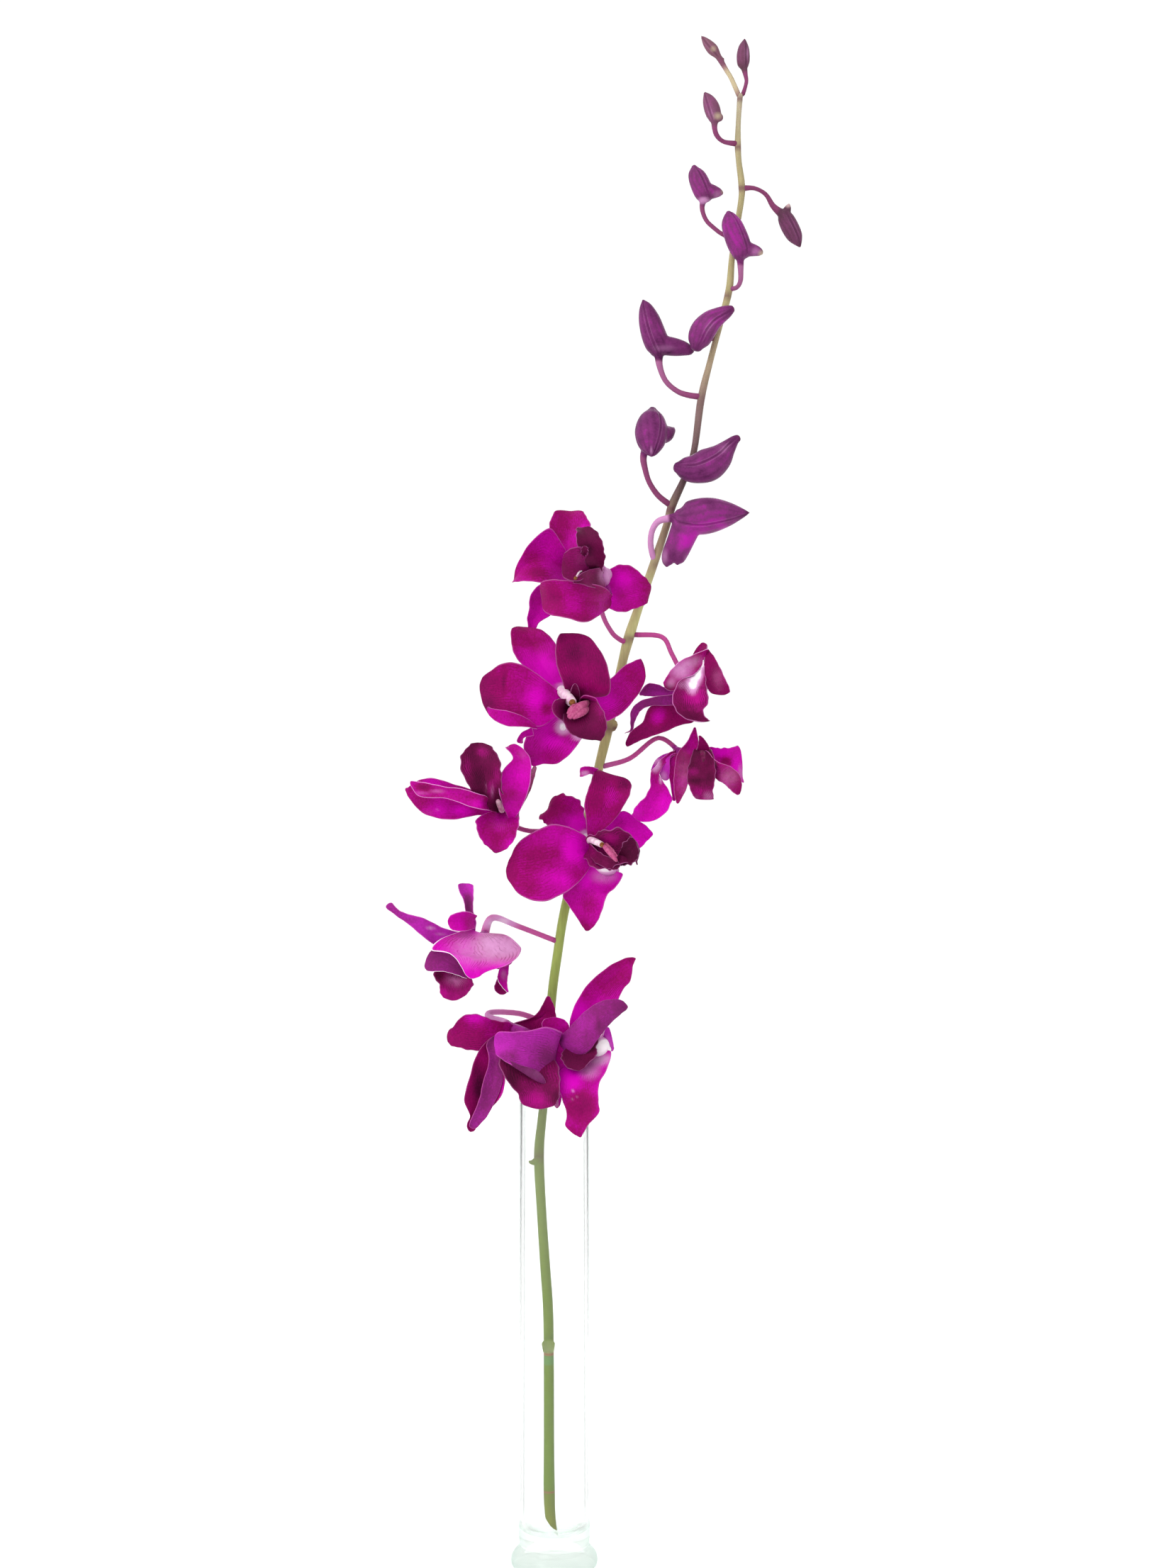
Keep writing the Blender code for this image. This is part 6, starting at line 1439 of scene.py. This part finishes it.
def make_column(plan, core):
    """The column over the lip and the cap at its end."""
    points = [place_in(plan, *point) for point in plan["column"]]
    root = through(core, nearest_to(core, points[0], np.linspace(0, 1, SAMPLES)))
    radius = plan.get("column_radius", COLUMN_RADIUS)
    radii = [radius] * len(points) + [radius * COLUMN_TAPER]
    look = plan.get("column_look", "white")
    column = as_object("column", bar([root, *points], radii), COLUMN_FINISHES[look])
    ahead = points[-1] - points[-2]
    ahead = ahead / np.linalg.norm(ahead)
    cap_radius = CAP_LEAST_RADIUS + CAP_SHARE * radius
    start = points[-1] + ahead * (CAP_START * radius - CAP_LEAST_RADIUS)
    cap = bar([start, start + ahead * CAP_LENGTH], [cap_radius, cap_radius * CAP_TAPER])
    return [column, as_object("cap", cap, CAP_FINISH if look == "white" else COLUMN_FINISHES[look])]


def make_bloom(letter, plan):
    """An open flower: its tepals with its core and stalk, its lip with any ridges, and its column."""
    node = f"bloom_{letter}"
    core = [place_in(plan, *point) for point in plan["core"]]
    petals = [make_flesh(plan, core)]
    petals += make_blades(plan["tepals"], plan, core, PETAL_THICKNESS, PETAL_FINISHES)
    deliver(joined(f"{node}_tepals", petals), f"{node}_tepals")
    lobes = make_blades(plan["lip"], plan, core, LIP_THICKNESS, LIP_FINISHES)
    for ridge in plan.get("callus", ()):
        points = [place_in(plan, x, z, y) for x, z, y, _ in ridge]
        shape = bar(points, [radius for _, _, _, radius in ridge])
        lobes.append(as_object("callus", shape, CALLUS_FINISH))
    deliver(joined(f"{node}_lip", lobes), f"{node}_lip")
    deliver(joined(f"{node}_column", make_column(plan, core)), f"{node}_column")


def make_bud(number, bars):
    """A closed bud: its body with sunken seams, its spur and its stalk, blended into one."""
    tones = BUD_TONES[number]
    paths = [[seen(x, z, y - BUD_ZERO + lean(z)) for x, z, y, _ in points] for points in bars]
    sizes = [[radius for _, _, _, radius in points] for points in bars]
    sizes[-1] = [radius + SMOOTHING_LOSS for radius in sizes[-1]]
    shapes = [bar(path, radii) for path, radii in zip(paths, sizes)]
    bud = merged_flesh(f"bud_{number}", shapes, BUD_VOXEL, BUD_FINISH)
    places = places_of(bud)
    outside, along = near_bar(paths[0], sizes[0], places)
    from_stalk, up_stalk = near_bar(paths[-1], sizes[-1], places)
    off_body = np.min([near_bar(path, radii, places)[0] for path, radii in zip(paths[:-1], sizes)], axis=0)
    on_stalk = limited((off_body - from_stalk) / BUD_BLEND)
    swell = np.sin(math.pi * along)
    on_body = limited(1 - outside / BODY_SKIN) * (1 - on_stalk) * swell

    reach, outward, angle = around(paths[0], places, along)
    turn = (angle - math.radians(tones["seam"])) * SEAMS / 2
    from_seam = np.abs(np.arcsin(np.sin(turn))) * 2 / SEAMS * reach
    seam = np.exp(-(from_seam / SEAM_WIDTH) ** 2) * limited(on_body * 1.5)
    # a painted highlight on the skin beside each seam
    ridge = np.exp(-((from_seam - RIDGE_PLACE) / RIDGE_WIDTH) ** 2) * on_body
    sunken = places - outward * (seam * min(SEAM_DEPTH, SEAM_SHARE * max(sizes[0])))[:, None]
    bud.data.vertices.foreach_set("co", (sunken * MM).ravel())
    bud.data.update()

    stalk_tone = between(tones["stalk"][::-1], up_stalk)
    at_stem = limited((up_stalk - BUD_STALK_FOOT) / (1 - BUD_STALK_FOOT)) * BUD_STALK_FOOT_DARKNESS
    at_tip = limited((along - BUD_TIP) / (1 - BUD_TIP)) * limited(1 - outside) * BUD_TIP_DARKNESS
    # tone: painted glow where the body swells and in the glow spots; pale: also the painted highlight by
    # each seam
    paint(bud,
          vivid=tones["vivid"] + spotted_all(places, tones["glow"]) + BODY_GLOW * swell + BODY_TONE,
          dry=tones["dry"],
          seam=seam,
          veins=(0.5 + 0.5 * np.sin(BUD_VEINS * angle + 2 * np.sin(BUD_VEIN_BENDS * along))) ** 2,
          stalk=on_stalk,
          dark=at_tip * (1 - on_stalk) + (at_stem - stalk_tone) * on_stalk,
          straw=spotted_all(places, tones.get("straw", ())),
          pale=spotted_all(places, tones["pale"]) + RIDGE_HIGHLIGHT * ridge + stalk_tone * on_stalk)
    deliver(bud, f"bud_{number}")


def make_sky():
    """A plain white backdrop, whose light comes mostly from the viewer's upper left."""
    world = bpy.data.worlds.new("studio")
    bpy.context.scene.world = world
    world.use_nodes = True
    tree = world.node_tree
    way = put(tree, "ShaderNodeTexCoord", {}).outputs["Generated"]
    towards = put(tree, "ShaderNodeVectorMath", {0: way, 1: SKY_BRIGHTEST}, operation="DOT_PRODUCT")
    glow = maths(tree, "POWER", maths(tree, "MAXIMUM", towards.outputs["Value"], 0), SKY_FALLOFF)
    light = maths(tree, "ADD", maths(tree, "MULTIPLY", glow, SKY_GLOW), SKY_BASE)
    ray = put(tree, "ShaderNodeLightPath", {})
    strength = put(tree, "ShaderNodeMix", {0: ray.outputs["Is Diffuse Ray"], 2: SKY, 3: light})
    tree.links.new(strength.outputs[0], tree.nodes["Background"].inputs["Strength"])
    tree.nodes["Background"].inputs["Color"].default_value = (1, 1, 1, 1)


def add_thing(name, data):
    """Put a floor, a light or a camera into the scene."""
    thing = bpy.data.objects.new(name, data)
    bpy.context.scene.collection.objects.link(thing)
    return thing


def make_stage():
    """A plain pale floor, soft studio light and the camera at the photograph's viewpoint."""
    shape = bmesh.new()
    bmesh.ops.create_circle(shape, cap_ends=True, segments=FLOOR_SIDES, radius=FLOOR_RADIUS)
    floor = add_thing("floor", bpy.data.meshes.new("floor"))
    shape.to_mesh(floor.data)
    shape.free()
    floor_white = bpy.data.materials.new("floor_white")
    floor_white.use_nodes = True
    shader = floor_white.node_tree.nodes["Principled BSDF"]
    shader.inputs["Base Color"].default_value = FLOOR_WHITE
    shader.inputs["Roughness"].default_value = 0.7
    shader.inputs["Specular IOR Level"].default_value = 0.2
    floor.data.materials.append(floor_white)
    make_sky()
    for name, place, size, power in LIGHTS:
        lamp = bpy.data.lights.new(name, "AREA")
        lamp.energy = power
        lamp.size = size
        holder = add_thing(name, lamp)
        holder.location = place
        holder.rotation_euler = (LIT_PLACE - holder.location).to_track_quat("-Z", "Y").to_euler()
    lens = bpy.data.cameras.new("camera")
    lens.sensor_width = SENSOR
    lens.lens = LENS
    lens.clip_start = NEAREST_SEEN
    camera = add_thing("camera", lens)
    camera.location = VIEWER * MM
    camera.rotation_euler = (math.pi / 2, 0, 0)
    bpy.context.scene.camera = camera
    bpy.context.scene.view_settings.view_transform = "Standard"


make_stage()
make_vase()
make_stem()
for bloom_letter, bloom_plan in BLOOMS.items():
    make_bloom(bloom_letter, bloom_plan)
for bud_number, bud_bars in BUDS.items():
    make_bud(bud_number, bud_bars)
